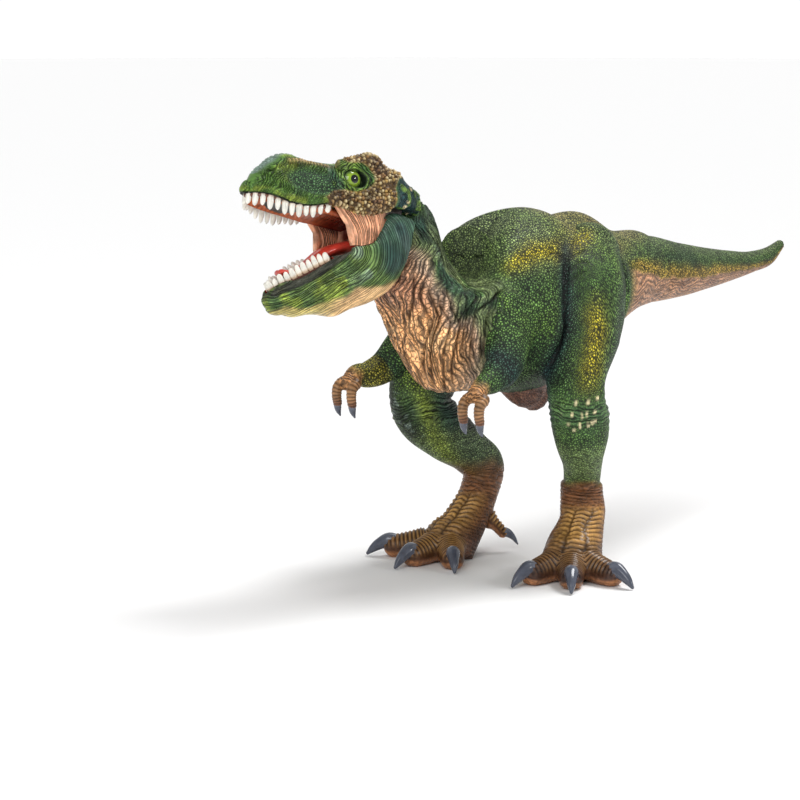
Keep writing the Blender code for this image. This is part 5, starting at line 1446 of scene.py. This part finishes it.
def head_paint(points, s):
    """The skull's relief, paint, wash and pebbles by place, in its own frame. Each feature is a soft mask
    from a line, an oval or an outline, and takes over from what lies under it by its share."""
    x, y, z = s[..., 0], s[..., 1], s[..., 2]
    out = normals(points)
    onside = ramp(0.30, 0.62, np.abs(out[..., 1]))
    wander = noise(points, 5.0, 3) * 0.7 + noise(points, 1.8, 4) * 0.35
    lip = np.interp(x, *LIP_LINE)
    paint = coat(x.shape, "snout")
    paint = brush(paint, "rim", 0.60 * ramp(0.0, 0.6, noise(points, 3.6, 5)))
    paint = brush(paint, "deep", 0.60 * ramp(0.15, 0.75, noise(points, 4.4, 6)))
    # Creases that run up from the lip round the snout
    long_line = bend_lines(x + 0.35 * z, z, 0.95, 3.4, 51)
    fine_line = bend_lines(x - 0.5 * z, z + x * 0.3, 0.7, 1.5, 53)
    creases = onside * ramp(-2, 4, x)
    lift = -0.22 * long_line * creases - 0.08 * fine_line * creases
    wash = (0.45 * long_line + 0.15 * fine_line) * creases
    across, up = (0.92 * x + 0.40 * z) / 0.72, (z - 0.3 * x) / 0.72
    lines, cracks = 0.95 * creases, 0.75 * creases
    # The shallow oval hollow in front of the eye, finely pebbled
    oval = np.hypot((x - 25.9) / 9.3, (z - 3.8) / 4.1)
    hollow = ramp(1.08, 0.72, oval) * onside
    lift = lift * (1 - hollow) - 0.95 * hollow + 0.30 * bell(oval - 1.18, 0.12) * onside
    wash = wash * (1 - hollow) + 0.35 * bell(oval - 1.0, 0.07) * onside * (z > 2)
    paint = brush(paint, "hollow", 0.95 * hollow)
    pebbles, coarse = 0.95 * hollow, np.where(hollow > 0.02, 0.1, 0.5)
    paint = brush(paint, "teal", 0.85 * blot(s, (19.8, 9.0, 7.4), (2.0, 20.0, 3.2)) * onside)
    lines, cracks = lines * (1 - hollow), cracks * (1 - hollow)
    # Grey knobs on top of the snout
    top = ramp(0.45, 0.15, np.abs(out[..., 1])) * (z > 4)
    top = top * ramp(24, 29, x) * ramp(43.5, 41, x)
    paint = brush(paint, "snout_grey", 0.85 * top)
    dome, gap, _ = knobs(points, 1.0, 63)
    lift += top * (0.36 * dome - 0.1 * gap)
    wash += 0.80 * gap * top
    lines, cracks = lines * (1 - top), cracks * (1 - top)
    # A row of tan bumps from the nostril to the brow
    reach, share = stroke(s, BUMP_RIDGE)
    near = bell(reach, 1.0) * ramp(0, 0.05, share)
    bumps = 0.5 + 0.5 * np.cos(share * 17 * math.tau + noise(points, 2.0, 8))
    lift += near * (0.50 + 0.50 * bumps)
    lines, cracks = lines * (1 - near), cracks * (1 - near)
    paint = brush(paint, "tan_light", near * (0.35 + 0.65 * bumps))
    wash += 0.7 * near * (1 - bumps)
    wash += 0.5 * bell(reach - 1.25, 0.3) * (z > 4) * (share > 0.02) * (share < 0.98)
    lift += 0.8 * blot(s, (32.5, 2.0, 9.5), (5.0, 5.0, 3.5))
    # The nostril
    nostril = blot(s, (39.0, 6.0, 5.2), (1.3, 3.0, 0.75))
    lift -= 1.0 * nostril
    wash += 0.95 * nostril
    lift += 0.4 * bell(np.hypot((x - 39) / 1.9, (z - 5.2) / 1.3) - 1, 0.3) * onside
    # The lip: a pale rim above a black line
    above = z - lip
    rim = bell(above - 1.2, 0.9) * (x > 12)
    broken = ramp(-0.6, 0.2, noise(points, 2.2, 19))
    paint = brush(paint, "rim", 0.75 * rim * ramp(19, 24, x) * broken)
    lines = lines * (1 - 0.6 * rim)
    lift += 0.30 * rim
    edge = ramp(0.50, 0.15, above) * (x > 17)
    paint = brush(paint, "black", 0.95 * edge)
    wash = wash * (1 - edge) + 0.5 * edge
    lift -= 0.25 * edge
    # The skin round the eye: lids and wrinkles about the ball
    ex, ez = x - EYE_PLACE[0] + 0.2, z - EYE_PLACE[2]
    far = np.hypot(ex, ez * 1.16)
    lid = ramp(8.4, 7.2, far + wander * 0.5) * onside
    paint = brush(paint, "deep", 0.60 * lid)
    paint = brush(paint, "bright", 0.50 * lid * ramp(0.0, 0.6, noise(points, 2.2, 15)))
    paint = brush(paint, "black", 0.45 * lid * ramp(5.6, 3.4, far))
    swap_place = far < 7.9
    across = np.where(swap_place, far / 0.80 + noise(points, 3.0, 9) * 0.8, across)
    up = np.where(swap_place, np.arctan2(ez, ex) * 4, up)
    seam = np.abs(far - 7.9) > 0.4
    lines = np.maximum(lines * (1 - lid), lid * ramp(3.4, 4.0, far)) * seam
    cracks = cracks * (1 - lid) * seam
    lift = lift * (1 - 0.8 * lid)
    wash = wash * (1 - lid)
    # The eye's rear corner is a dent painted black, and a black ring runs under the lower lid towards the
    # rear: painted shade, beside the black outline round the ball
    corner = blot(s, (EYE_PLACE[0] - 4.2, 11.0, EYE_PLACE[2] - 0.8), (1.5, 6.0, 1.1))
    lift += 0.55 * bell(far - 3.7, 0.45) * onside - 0.6 * corner
    outline = bell(far - 3.15, 0.42) * onside
    lower_lid_shade = bell(far - 4.7, 0.22) * onside * ramp(1.0, -1.0, ex + ez)
    outline = np.maximum(outline, lower_lid_shade)
    paint = brush(paint, "black", np.maximum(outline, 0.9 * corner))
    paint = brush(paint, "bright", 0.75 * bell(far - 3.9, 0.28) * onside)
    lift -= 2.4 * ramp(3.3, 2.95, far) * onside
    # Knobbly tan cheek and crest
    region = inside(plane(x + wander * 0.5, z + wander * 0.5), KNOB_REGION, 0.45)
    region = region * ramp(2.5, 5.0, y) * ramp(3.6, 4.2, far)
    lines, cracks = lines * (1 - region), cracks * (1 - region)
    dome, gap, mark = knobs(points + wander[..., None] * 0.3, 1.05, 71)
    small, _, _ = knobs(points, 0.6, 73)
    lift = lift * (1 - region) + region * (0.62 * dome - 0.28 * gap + 0.10 * small + 0.25 * mark)
    beads = coat(x.shape, "knob")
    beads = brush(beads, "cream", 0.80 * (mark > 0.50) * dome)
    beads = brush(beads, "brown", 0.65 * (mark < 0.25))
    beads = brush(beads, "pinkish", 0.40 * ramp(0.0, 0.5, noise(points, 6.0, 23)))
    paint = paint * (1 - region[..., None]) + beads * region[..., None]
    wash = wash * (1 - region) + region * np.clip(gap + 0.75 * (1 - dome), 0, 1)
    below = ramp(-2.4, -4.6, z + 0.25 * np.maximum(x - 12, 0)) * region * (x > 3)
    wash = np.maximum(wash, 0.5 * below)
    # Behind the crest the nape is green with pale knobs
    nape = ramp(1.0, -2.0, x) * (1 - region)
    dome, gap, mark = knobs(points, 1.7, 75)
    streak = ramp(0.1, 0.5, noise(points * np.array([1.6, 1.6, 0.5]), 2.0, 25))
    paint = brush(paint, "teal", nape)
    paint = brush(paint, "bright", 0.95 * nape * streak)
    paint = brush(paint, "cream", 0.9 * nape * (mark > 0.78) * ramp(0.4, 0.8, dome))
    lift += nape * (0.30 * dome * (mark > 0.78) + 0.35 * streak)
    wash = wash * (1 - nape) + 0.4 * nape * gap
    lines, cracks = np.maximum(lines * (1 - nape), 0.8 * nape), np.maximum(cracks * (1 - nape), 0.5 * nape)
    return lift, paint, np.clip(wash, 0, 1), pebbles, coarse, (across, up, cracks, lines)


def make_skull():
    """The upper head: its snout, hollows, lids, knobbly cheeks and brows, over the jaw's room."""
    brows = [Tube([(x, hand * y, z, w, d) for x, y, z, w, d in BROW_ROWS]) for hand in (1, -1)]
    grids = []
    for tube, others, step, around, domes in ((SKULL_TUBE, brows, 0.30, 250, (6, 8)),
                                              (brows[0], [SKULL_TUBE], 0.28, 84, (8, 8)),
                                              (brows[1], [SKULL_TUBE], 0.28, 84, (8, 8))):
        points, _, _ = tube.grid(step, around, domes, bulge=(0.35, 1.0) if tube is SKULL_TUBE else (1, 1))
        points = merge(points, others, [2.0] * len(others), sink=0.9)
        if tube is SKULL_TUBE:
            x, z = points[..., 0], points[..., 2]
            points[..., 2] = np.maximum(z, np.interp(x, *LIP_LINE) - 0.1)
            points[..., 2] += 0.5 * bell(x - 33.0, 4.0) * ramp(4, 9, z)
            pull = 1.3 * ramp(-5, -2, z) + 0.4 * ramp(0, 4, z)
            pull = pull + 0.7 * ramp(5, 9, z)
            points[..., 0] -= pull * ramp(33, 42, x)
        s = points.copy()
        s[..., 1] = np.abs(s[..., 1])
        lift, paint, wash, pebbles, coarse, weave = head_paint(points, s)
        points = points + normals(points) * lift[..., None]
        points = from_skull(points)
        grids.append(finished(points, paint, pebbles, wash, gloss=0.25, coarse=coarse, weave=weave))
    skull = skin("skull_skin", grids[:1], "figure", ["skull"], VINYL, corners=True)
    places = palate_outline(0.0, PALATE_START - GAP / HEAD[0])
    recess = slab_rings(places, GUM_SEAT + GAP - HEAD[2], GUM_SEAT + GAP)
    carve(skull, swept_jaws((0.0, JAW_SWING)) + [tool("recess", recess, from_skull, "black")])
    # A bar across the skull, behind the lining, that hides the room of the jaw's hinge
    rows = [(-1.45, across, -2.6, 4.0, 7.5) for across in (-8.2, 8.2)]
    core = Tube(rows, side=(-1.0, 0.0, 0.0), powers=(2.6, 2.6))
    points, _, _ = core.grid(1.0, 40, (2, 2), bulge=(0.05, 0.05))
    grids.append(finished(from_skull(points), coat(points.shape[:2], "red_brown"), 0, 0))
    skin("brow_skin", grids[1:], "figure", None, VINYL)


def make_jaw():
    """The lower jaw: long wrinkles that turn round the mouth's corner, a grey groove under the teeth. The
    wrinkles are level lines of the distance from the groove."""
    points, _, _ = JAW_TUBE.grid(0.30, 250, (1, 8), bulge=(0.05, 1.0))
    s = points.copy()
    s[..., 1] = np.abs(s[..., 1])
    x, z = s[..., 0], s[..., 2]
    out = normals(points)
    onside = ramp(0.15, 0.45, np.abs(out[..., 1]))
    wander = noise(points, 4.0, 3)
    groove_gap, _ = stroke(plane(x, z), GROOVE_LINE)
    reach = groove_gap + wander * 0.35
    line = bend_lines(reach, x + 0.5 * z, 1.5, 7.5, 81)
    paint = coat(x.shape, "snout")
    paint = brush(paint, "grey_green", 0.30)
    patches = 0.55 * ramp(-0.2, 0.4, noise(points, 3.0, 5))
    paint = brush(paint, "rim", patches * ramp(14, 22, x))
    patches = 0.65 * ramp(0.0, 0.4, noise(points, 4.0, 16))
    paint = brush(paint, "snout_grey", patches * ramp(24, 12, x))
    paint = brush(paint, "deep", 0.6 * ramp(0.0, 0.6, noise(points, 4.0, 6)))
    teal = ramp(13.0, 7.0, x + wander * 1.5) * ramp(-15, -9, z)
    paint = brush(paint, "teal", 0.80 * teal)
    chin = np.interp(x, (8, 15, 21, 24, 31, 39, 42), (-13.5, -11.6, -10.2, -10.9, -9.6, -8.0, -5.5))
    tan = ramp(0.9, -0.9, z - chin + wander * 0.7)
    paint = brush(paint, "tan_light", 0.9 * tan)
    paint = brush(paint, "rim", 0.45 * tan * ramp(24, 34, x))
    lift = -0.25 * line * (1 - 0.7 * tan) * (1 - 0.6 * teal)
    wash = 0.35 * line * (1 - tan) * (1 - teal)
    band = ramp(1.55, 1.05, groove_gap - 0.5 * bell(x - 29, 6)) * onside
    paint = brush(paint, "groove", 0.95 * band)
    lift = lift * (1 - band) - 0.55 * band
    wash = wash * (1 - band)
    lines = (1 - 0.55 * tan) * (1 - 0.35 * teal) * (1 - 0.45 * band)
    cracks = 0.60 * (1 - tan) * ramp(10, 18, x) * (1 - 0.6 * band)
    weave = (reach / 0.72, (x + 0.6 * z) / 3.2, cracks, lines)
    brim = np.interp(x, (5, 10, 20, 30, 40), (1.0, -0.4, 1.2, 0.4, 0.2))
    crown = ramp(0.2, 0.9, z - brim) * (x > 18)
    paint = brush(paint, "groove", 0.9 * crown)
    lift += 1.6 * blot(s, (26.0, 0, -15.0), (4.0, 6.5, 4.0)) * ramp(-8, -11, z)
    points = points + out * lift[..., None]
    grid = finished(from_jaw(points), paint, 0.0, wash, gloss=0.25, weave=weave)
    jaw = skin("jaw_skin", [grid], "jaw", ["lower_jaw"], VINYL, corners=True)
    table = np.array(TROUGH_SHARES)
    outer = smooth_rows(head_rows(JAW_SHARES), 8)
    half = np.interp(table[:, 0] * HEAD[0], outer[:, 0], outer[:, 3]) - JAW_WALL
    table[:, 3] = (half - table[:, 3] * (GUM_WIDTH + GAP)) / HEAD[1]
    trough = Tube(head_rows(table), side=ASIDE, powers=(5.0, 6.0), ahead=AHEAD)
    points, _, _ = trough.grid(1.2, 64, (1, 5), bulge=(0.02, 1.0))
    tools = [tool("trough", points, from_jaw, "red_brown")]
    shelf = LOWER_GUM - GUM_HEIGHT - GAP
    room = mouth_line(head_rows(JAW_SHARES), JAW_WALL, LOWER_START - GAP / HEAD[0])
    tools.append(tool("shelf", slab_rings(room, shelf, shelf + HEAD[2]), from_jaw, "gum_dark"))
    free = JAW_SHARES[0][3] * HEAD[1] - JAW_WALL
    rear = [(-50, -20), (4, -20), (4, 20), (-50, 20)]
    tools.append(tool("rear", prism_rings(rear, -free, free), from_jaw, "teal"))
    turns = np.linspace(0, math.tau, 25)[:-1]
    bore = [(BORE_RADIUS * math.cos(t), BORE_RADIUS * math.sin(t)) for t in turns]
    tools.append(tool("bore", prism_rings(bore, -free - 1.7, free + 1.7), from_jaw, "dark_brown"))
    carve(jaw, tools)


def sheet(outer, inner):
    """A closed grid from a sheet's two faces, each as rows of points across it."""
    return np.concatenate([outer, inner[:, ::-1]], axis=1)


def make_lining():
    """The ridged roof of the mouth, the throat's rear wall and the two ribbed cheek membranes. The roof
    rises as 1 - |v|^2.4 across, with cosine ridges, the wall has a bell-shaped hollow, and a membrane runs
    straight between two lines, bowed as half a sine, with cosine ribs."""
    fine = smooth_rows(head_rows(SKULL_SHARES), 12)
    x = np.linspace(3.4, 42.0, 110)
    half = np.minimum(np.interp(x, fine[:, 0], fine[:, 3]) - 3.0, 8.6)
    half = half * np.sqrt(np.clip((42.6 - x) / 3.0, 0.02, 1))
    half = np.minimum(half, np.interp(x, (3.0, 17.0, 23.0), (7.0, 7.0, 8.6)))
    v = np.linspace(-1, 1, 61)
    across = half[:, None] * v
    along = np.repeat(x[:, None], 61, axis=1)
    vault = GUM_SEAT - 2.0 + 1.55 * (1 - np.abs(v) ** 2.4)
    ridge = 0.18 * np.cos(along * math.tau / 1.6 + 3 * v**2) * (1 - np.abs(v))
    lower = np.stack([along, across, vault + ridge + 0 * along], axis=-1)
    upper = np.stack([along, across * 0.98, np.full_like(along, GUM_SEAT)], axis=-1)
    roof = sheet(lower, upper)
    paint = coat(roof.shape[:2], "palate")
    paint = brush(paint, "throat", ramp(24, 9, roof[..., 0]))
    wash = 0.45 * (0.5 - 0.5 * np.cos(roof[..., 0] * math.tau / 1.6)) * (np.abs(roof[..., 1]) < 6)
    grids = [finished(from_skull(roof), paint, 0.0, wash, gloss=0.7)]
    y = np.linspace(-8.0, 8.0, 70)[:, None] + np.zeros((1, 50))
    z = np.linspace(-2.4, -13.5, 50)[None] + np.zeros((70, 1))
    ribs = 0.5 + 0.5 * np.cos(y * math.tau / 1.25 + noise(plane(y, z), 3.0, 7) * 1.4)
    dark = bell(z + 4.6, 3.2) * ramp(8.0, 4.5, np.abs(y))
    face = np.stack([6.6 - 2.2 * dark + 0.14 * ribs * (1 - dark) - 0.012 * y**2, y, z], axis=-1)
    rear = np.stack([np.full_like(y, 3.2), y * 0.98, z], axis=-1)
    wall = sheet(face, rear)
    paint = coat(face.shape[:2], "pink")
    paint = brush(paint, "throat", 0.98 * ramp(0.12, 0.62, dark))
    paint = brush(paint, "red_brown", 0.4 * (1 - ribs))
    paint = np.concatenate([paint, paint[:, ::-1]], axis=1)
    grids.append(finished(from_skull(wall), paint, 0.0, 0.0, gloss=0.7))
    skin("palate_lining", grids, "figure", ["mouth_lining"], VINYL)
    u = np.linspace(0, 1, 130)
    t = np.linspace(0, 1, 46)[None, :, None]
    for name, hand in (("left", 1), ("right", -1)):
        top = np.column_stack([np.interp(u, CHEEK_STATIONS, line) for line in CHEEK_TOP])[:, None]
        base = np.column_stack([np.interp(u, CHEEK_STATIONS, line) for line in CHEEK_BASE])[:, None]
        face = top * (1 - t) + base * t
        bow = np.sin(math.pi * t[..., 0]) * ramp(0.2, 0.9, u)[:, None]
        face[..., 0] -= 2.4 * bow
        face[..., 0] += 2.4 * (hand < 0) * ramp(0.3, 1.0, u)[:, None] * t[..., 0]
        face[..., 1] -= 0.5 * bow
        fan = u[:, None] + 0.10 * t[..., 0] * (1 - u[:, None])
        ribs = 0.5 + 0.5 * np.cos(fan * 17 * math.tau + noise(face, 2.2, 5) * 3.0)
        fine_ribs = 0.5 + 0.5 * np.cos(fan * 44 * math.tau + noise(face, 1.2, 6) * 2.6)
        ribs = ribs * (0.6 + 0.4 * noise(face, 3.0, 8))
        front = ramp(0.25, 0.5, u)[:, None]
        face[..., 1] += (0.22 * ribs + 0.05 * fine_ribs) * front
        weave = [fan * 26.0, t[..., 0] * 2.2 + 0 * fan, 0.10, 0.75 * front + 0 * fan]
        back = face.copy()
        back[..., 1] -= 0.3 + 0.9 * front
        both = sheet(face, back)
        both[..., 1] *= hand
        paint = coat(face.shape[:2], "membrane")
        paint = brush(paint, "pink", 0.8 * ribs)
        paint = brush(paint, "palate", 0.45 * ramp(0.45, 0.0, ribs * 0.7 + fine_ribs * 0.3))
        shadow = 0.7 * ramp(0.22, 0.02, t[..., 0])
        paint = brush(paint, "red_brown", shadow * ramp(0.85, 0.6, u)[:, None])
        # The membrane's rear end is black: painted shade deep in the mouth's corner
        paint = brush(paint, "black", 0.97 * ramp(0.32, 0.22, u)[:, None] * np.ones_like(ribs))
        dark = 0.95 * ramp(-6.0, -4.0, face[..., 2] + noise(face, 3.0, 4))
        inner = brush(paint, "throat", dark * ramp(0.97, 0.80, u)[:, None])
        paint = np.concatenate([paint, inner[:, ::-1]], axis=1)
        weave = [np.broadcast_to(value, ribs.shape) for value in weave]
        weave = [np.concatenate([value, value[:, ::-1]], axis=1) for value in weave]
        grid = finished(from_skull(both), paint, 0.0, 0.0, gloss=0.35, weave=weave)
        item = skin(f"{name}_cheek_membrane", [grid], None, None, VINYL)
        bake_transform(item)


def tooth_grid(root, ahead, aside, rise, length, width, bend):
    """One curved peg of a tooth: along t from 0 to 1 its oval section shrinks as the root of 1 - t^5, and
    by a fifth, and its middle bends aside as t^2."""
    t = np.linspace(0, 1, 12)[:, None]
    turn = np.radians(360) * np.arange(14)[None] / 14
    size = np.clip(1 - t**5, 0, 1) ** 0.5 * (1 - 0.20 * t)
    point = (root + rise * length * t[..., None] + aside * bend * (t**2)[..., None]
             + ahead * (np.cos(turn) * size * width / 2)[..., None]
             + aside * (np.sin(turn) * size * width * 0.42)[..., None])
    return point, np.repeat(t, 14, axis=1)


def make_teeth(name, line, count, seat, crest, roots, tips, frame_of, body, colour):
    """A row of teeth on its gum. Their roots and tips follow two curves along the jaw, and the gum is an
    oval carried along their line, waved by a cosine with one wave to a tooth."""
    line = evenly(line, count + 1)
    middles = (line[1:] + line[:-1]) / 2
    step = unit(line[1:] - line[:-1])
    rise = np.array([0.0, 0.0, 1.0 if crest > seat else -1.0])
    grids = []
    for k, (place, way) in enumerate(zip(middles, step)):
        start = np.interp(place[0], *roots)
        tall = abs(np.interp(place[0], *tips) - start) * (0.90 + 0.2 * lattice(np.array([k, 5, 3]), 7))
        wide = 2.05 * (0.92 + 0.16 * lattice(np.array([k, 2, 9]), 11))
        ahead = np.array([*way, 0.0])
        aside = np.array([-way[1], way[0], 0.0])
        root = np.array([*place, start])
        points, t = tooth_grid(root, ahead, aside, rise, tall, wide, 0.35)
        paint = brush(coat(t.shape, "bone"), "tan_light", 0.75 * ramp(0.42, 0.12, t))
        paint = brush(paint, "brown", 0.5 * ramp(0.28, 0.08, t))
        grids.append(finished(frame_of(points), paint, 0.0, 0.0))
    skin(name + "_enamel", grids, body, [name], ENAMEL)
    gum_line = evenly(line, 160)
    way = unit(np.gradient(gum_line, axis=0))
    out = np.column_stack([-way[:, 1], way[:, 0]])
    turn = np.radians(360) * np.arange(20) / 20
    share = np.linspace(0, 1, 160) * count
    lump = 0.18 * np.cos(share * math.tau)
    reach = np.abs(crest - seat) / 2 + 0.15
    flat = gum_line[:, None] + out[:, None] * (np.cos(turn) * (GUM_WIDTH / 2 - 0.2))[None, :, None]
    level = (crest + seat) / 2 + np.sin(turn)[None] * (reach - lump[:, None])
    points = np.concatenate([flat, level[..., None]], axis=-1)
    paint = coat(points.shape[:2], colour)
    outer = ramp(-0.1, 0.3, np.cos(turn))[None] * np.ones((160, 1))
    paint = brush(paint, "dark_brown" if crest > seat else "red_brown", 0.9 * outer)
    grid = finished(frame_of(points), paint, 0.0, 0.0, gloss=0.8)
    skin(name + "_gum", [grid], body, None, GLOSS)


def make_tongue():
    """The tongue: a soft groove down its middle, a bell curve across it, and a fine grain."""
    rows = scaled(TONGUE_SHARES, HEAD[0], HEAD[2], 8.0, 3.6)
    rows = np.insert(rows, 1, 0.0, axis=1)
    points, _, turn = Tube(rows, side=ASIDE).grid(0.25, 60, (6, 6))
    valley = bell(points[..., 1], 0.8) * (np.sin(turn) > 0)
    points = points + normals(points) * (-0.35 * valley + 0.05 * noise(points, 0.8, 3))[..., None]
    blush = ramp(-0.2, 0.6, noise(points, 2.0, 4))
    paint = brush(coat(points.shape[:2], "tongue"), "gum", 0.4 * blush)
    grid = finished(from_jaw(points), paint, 0.0, 0.3 * valley)
    skin("tongue_flesh", [grid], "jaw", ["tongue"], GLOSS)


def make_eye(name, hand):
    """An eyeball painted by the angle from its gaze: black pupil, streaked yellow-green iris, dark rim."""
    centre = (np.array(EYE_PLACE) - np.array([0, 0.4, 0])) * np.array([1, hand, 1])
    gaze = unit(np.array([0.03, hand * 0.99, -0.03]))
    aside = unit(np.cross(gaze, (0.0, 0.0, 1.0)))
    rise = np.cross(aside, gaze)
    angle = (np.linspace(0.02, 0.999, 56) ** 1.25 * math.pi)[:, None]
    turn = np.radians(360) * np.arange(64)[None] / 64
    spoke = aside * np.cos(turn)[..., None] + rise * np.sin(turn)[..., None]
    ray = gaze * np.cos(angle)[..., None] + spoke * np.sin(angle)[..., None]
    points = centre + ray * EYE_RADIUS
    angle = angle + 0 * turn
    streaks = noise(plane(turn * 9 + 0 * angle, angle * 2), 1.0, 3)
    paint = coat(angle.shape, "iris")
    paint = brush(paint, "rim", 0.6 * ramp(0.2, 0.8, streaks))
    paint = brush(paint, "deep", 0.20 + 0.65 * ramp(0.50, 0.76, angle + 0.08 * streaks))
    paint = brush(paint, "black", ramp(0.80, 0.88, angle))
    paint = brush(paint, "black", ramp(0.37, 0.32, angle))
    skin(name + "_ball", [finished(from_skull(points), paint, 0, 0)], "figure", [name], WET)


def build_head():
    """Every piece of the head: skull, jaw, lining, teeth, tongue and eyes."""
    make_skull()
    make_jaw()
    make_lining()
    upper = mouth_line(head_rows(SKULL_SHARES), LIP_WALL + GAP + GUM_WIDTH / 2, UPPER_START)
    make_teeth("upper_teeth", upper, 24, -1.9, -3.3, UPPER_ROOTS, UPPER_TIPS, from_skull, "figure",
               "palate")
    lower = mouth_line(head_rows(JAW_SHARES), JAW_WALL + GAP + GUM_WIDTH / 2, LOWER_START)
    make_teeth("lower_teeth", lower, 22, LOWER_GUM - GUM_HEIGHT, LOWER_GUM, LOWER_ROOTS, LOWER_TIPS,
               from_jaw, "jaw", "gum")
    make_tongue()
    make_eye("left_eye", 1)
    make_eye("right_eye", -1)


def studio():
    """A pale floor, soft light from large areas, and the camera at the photo's angle."""
    scene = bpy.context.scene
    scene.view_settings.view_transform = "Standard"
    bpy.ops.mesh.primitive_plane_add(size=60.0)
    floor = bpy.context.object
    floor.name = "studio_floor"
    # Matt paper: one flat pale tone with no shine, so that only the figure's shadow shows on it
    material, _, principled = shader("matt_white_paper")
    principled.inputs["Base Color"].default_value = (0.9, 0.9, 0.9, 1)
    principled.inputs["Roughness"].default_value = 0.9
    floor.data.materials.append(material)
    world = bpy.data.worlds.new("studio")
    scene.world = world
    world.use_nodes = True
    tree = world.node_tree
    way = node(tree, "ShaderNodeTexCoord")["Generated"]
    # The world is bright behind the figure, as the photo's ground is, and dimmer all round
    facing = node(tree, VECTOR, {"operation": "DOT_PRODUCT"}, i0=way, i1=(0.70, 0.70, -0.10))
    bright = node(tree, RANGE, SMOOTH, Value=facing["Value"], From_Min=0.80,
                  From_Max=0.93, To_Min=0.42, To_Max=1.04)
    tree.links.new(bright[0], tree.nodes["Background"].inputs["Strength"])
    tree.nodes["Background"].inputs["Color"].default_value = (1, 1, 1, 1)
    sun = bpy.data.lights.new("overhead", "SUN")
    sun.energy, sun.angle = 2.3, math.radians(28)
    lamp = bpy.data.objects.new("overhead", sun)
    scene.collection.objects.link(lamp)
    lamp.rotation_euler = Vector((0.42, -0.12, 1.0)).to_track_quat("Z", "Y").to_euler()
    front = bpy.data.lights.new("front", "AREA")
    front.size, front.energy = 0.5, 3.0
    lamp = bpy.data.objects.new("front", front)
    scene.collection.objects.link(lamp)
    place = Vector((-0.75, -0.35, 0.55))
    lamp.location = place
    lamp.rotation_euler = (Vector((-0.03, 0, 0.08)) - place).to_track_quat("-Z", "Y").to_euler()
    # A small lamp whose reflection gives the glint in the left pupil
    glint = bpy.data.lights.new("glint", "AREA")
    glint.size, glint.energy = 0.06, 0.6
    lamp = bpy.data.objects.new("glint", glint)
    scene.collection.objects.link(lamp)
    eye = from_skull(np.array(EYE_PLACE))
    gaze = SKULL_TURN @ unit(np.array([0.03, 0.99, 0.0]))
    sight = unit(np.array(CAMERA_PLACE) - eye)
    toward = 2 * (gaze @ sight) * gaze - sight
    lamp.location = (eye + toward * 700.0 + SHIFT) * MM
    lamp.rotation_euler = Vector(toward).to_track_quat("Z", "Y").to_euler()
    camera = bpy.data.cameras.new("photo_view")
    camera.sensor_width = 36.0
    camera.lens = camera.sensor_width * FOCAL_PIXELS / (2 * PICTURE_MIDDLE)
    camera.clip_start = 0.01
    item = bpy.data.objects.new("photo_view", camera)
    scene.collection.objects.link(item)
    item.location = (np.array(CAMERA_PLACE) + SHIFT) * MM
    item.rotation_euler = (math.radians(CAMERA_TILT), 0, math.radians(CAMERA_TURN))
    scene.camera = item


# Soft PVC, cast in a mould and air-brushed: a satin skin, whose pebbles catch soft points of light
VINYL = painted_vinyl("moulded_soft_pvc_airbrushed", 0.42)
# Hard plastic, moulded smooth and painted slate: a narrow highlight runs down each claw
HORN = painted_gloss("slate_painted_hard_plastic", 0.22)
# Hard plastic, moulded smooth and painted ivory: a small soft highlight on each tooth
ENAMEL = painted_gloss("ivory_painted_hard_plastic", 0.28)
# Soft PVC under glossy paint: gums and tongue that look moist
GLOSS = painted_gloss("gloss_painted_soft_pvc", 0.30)
# Eye paint under clear lacquer: a ball with a sharp glint
WET = painted_gloss("eye_paint_under_clear_lacquer", 0.06, 0.3)
build_body(VINYL, HORN)
build_head()
studio()
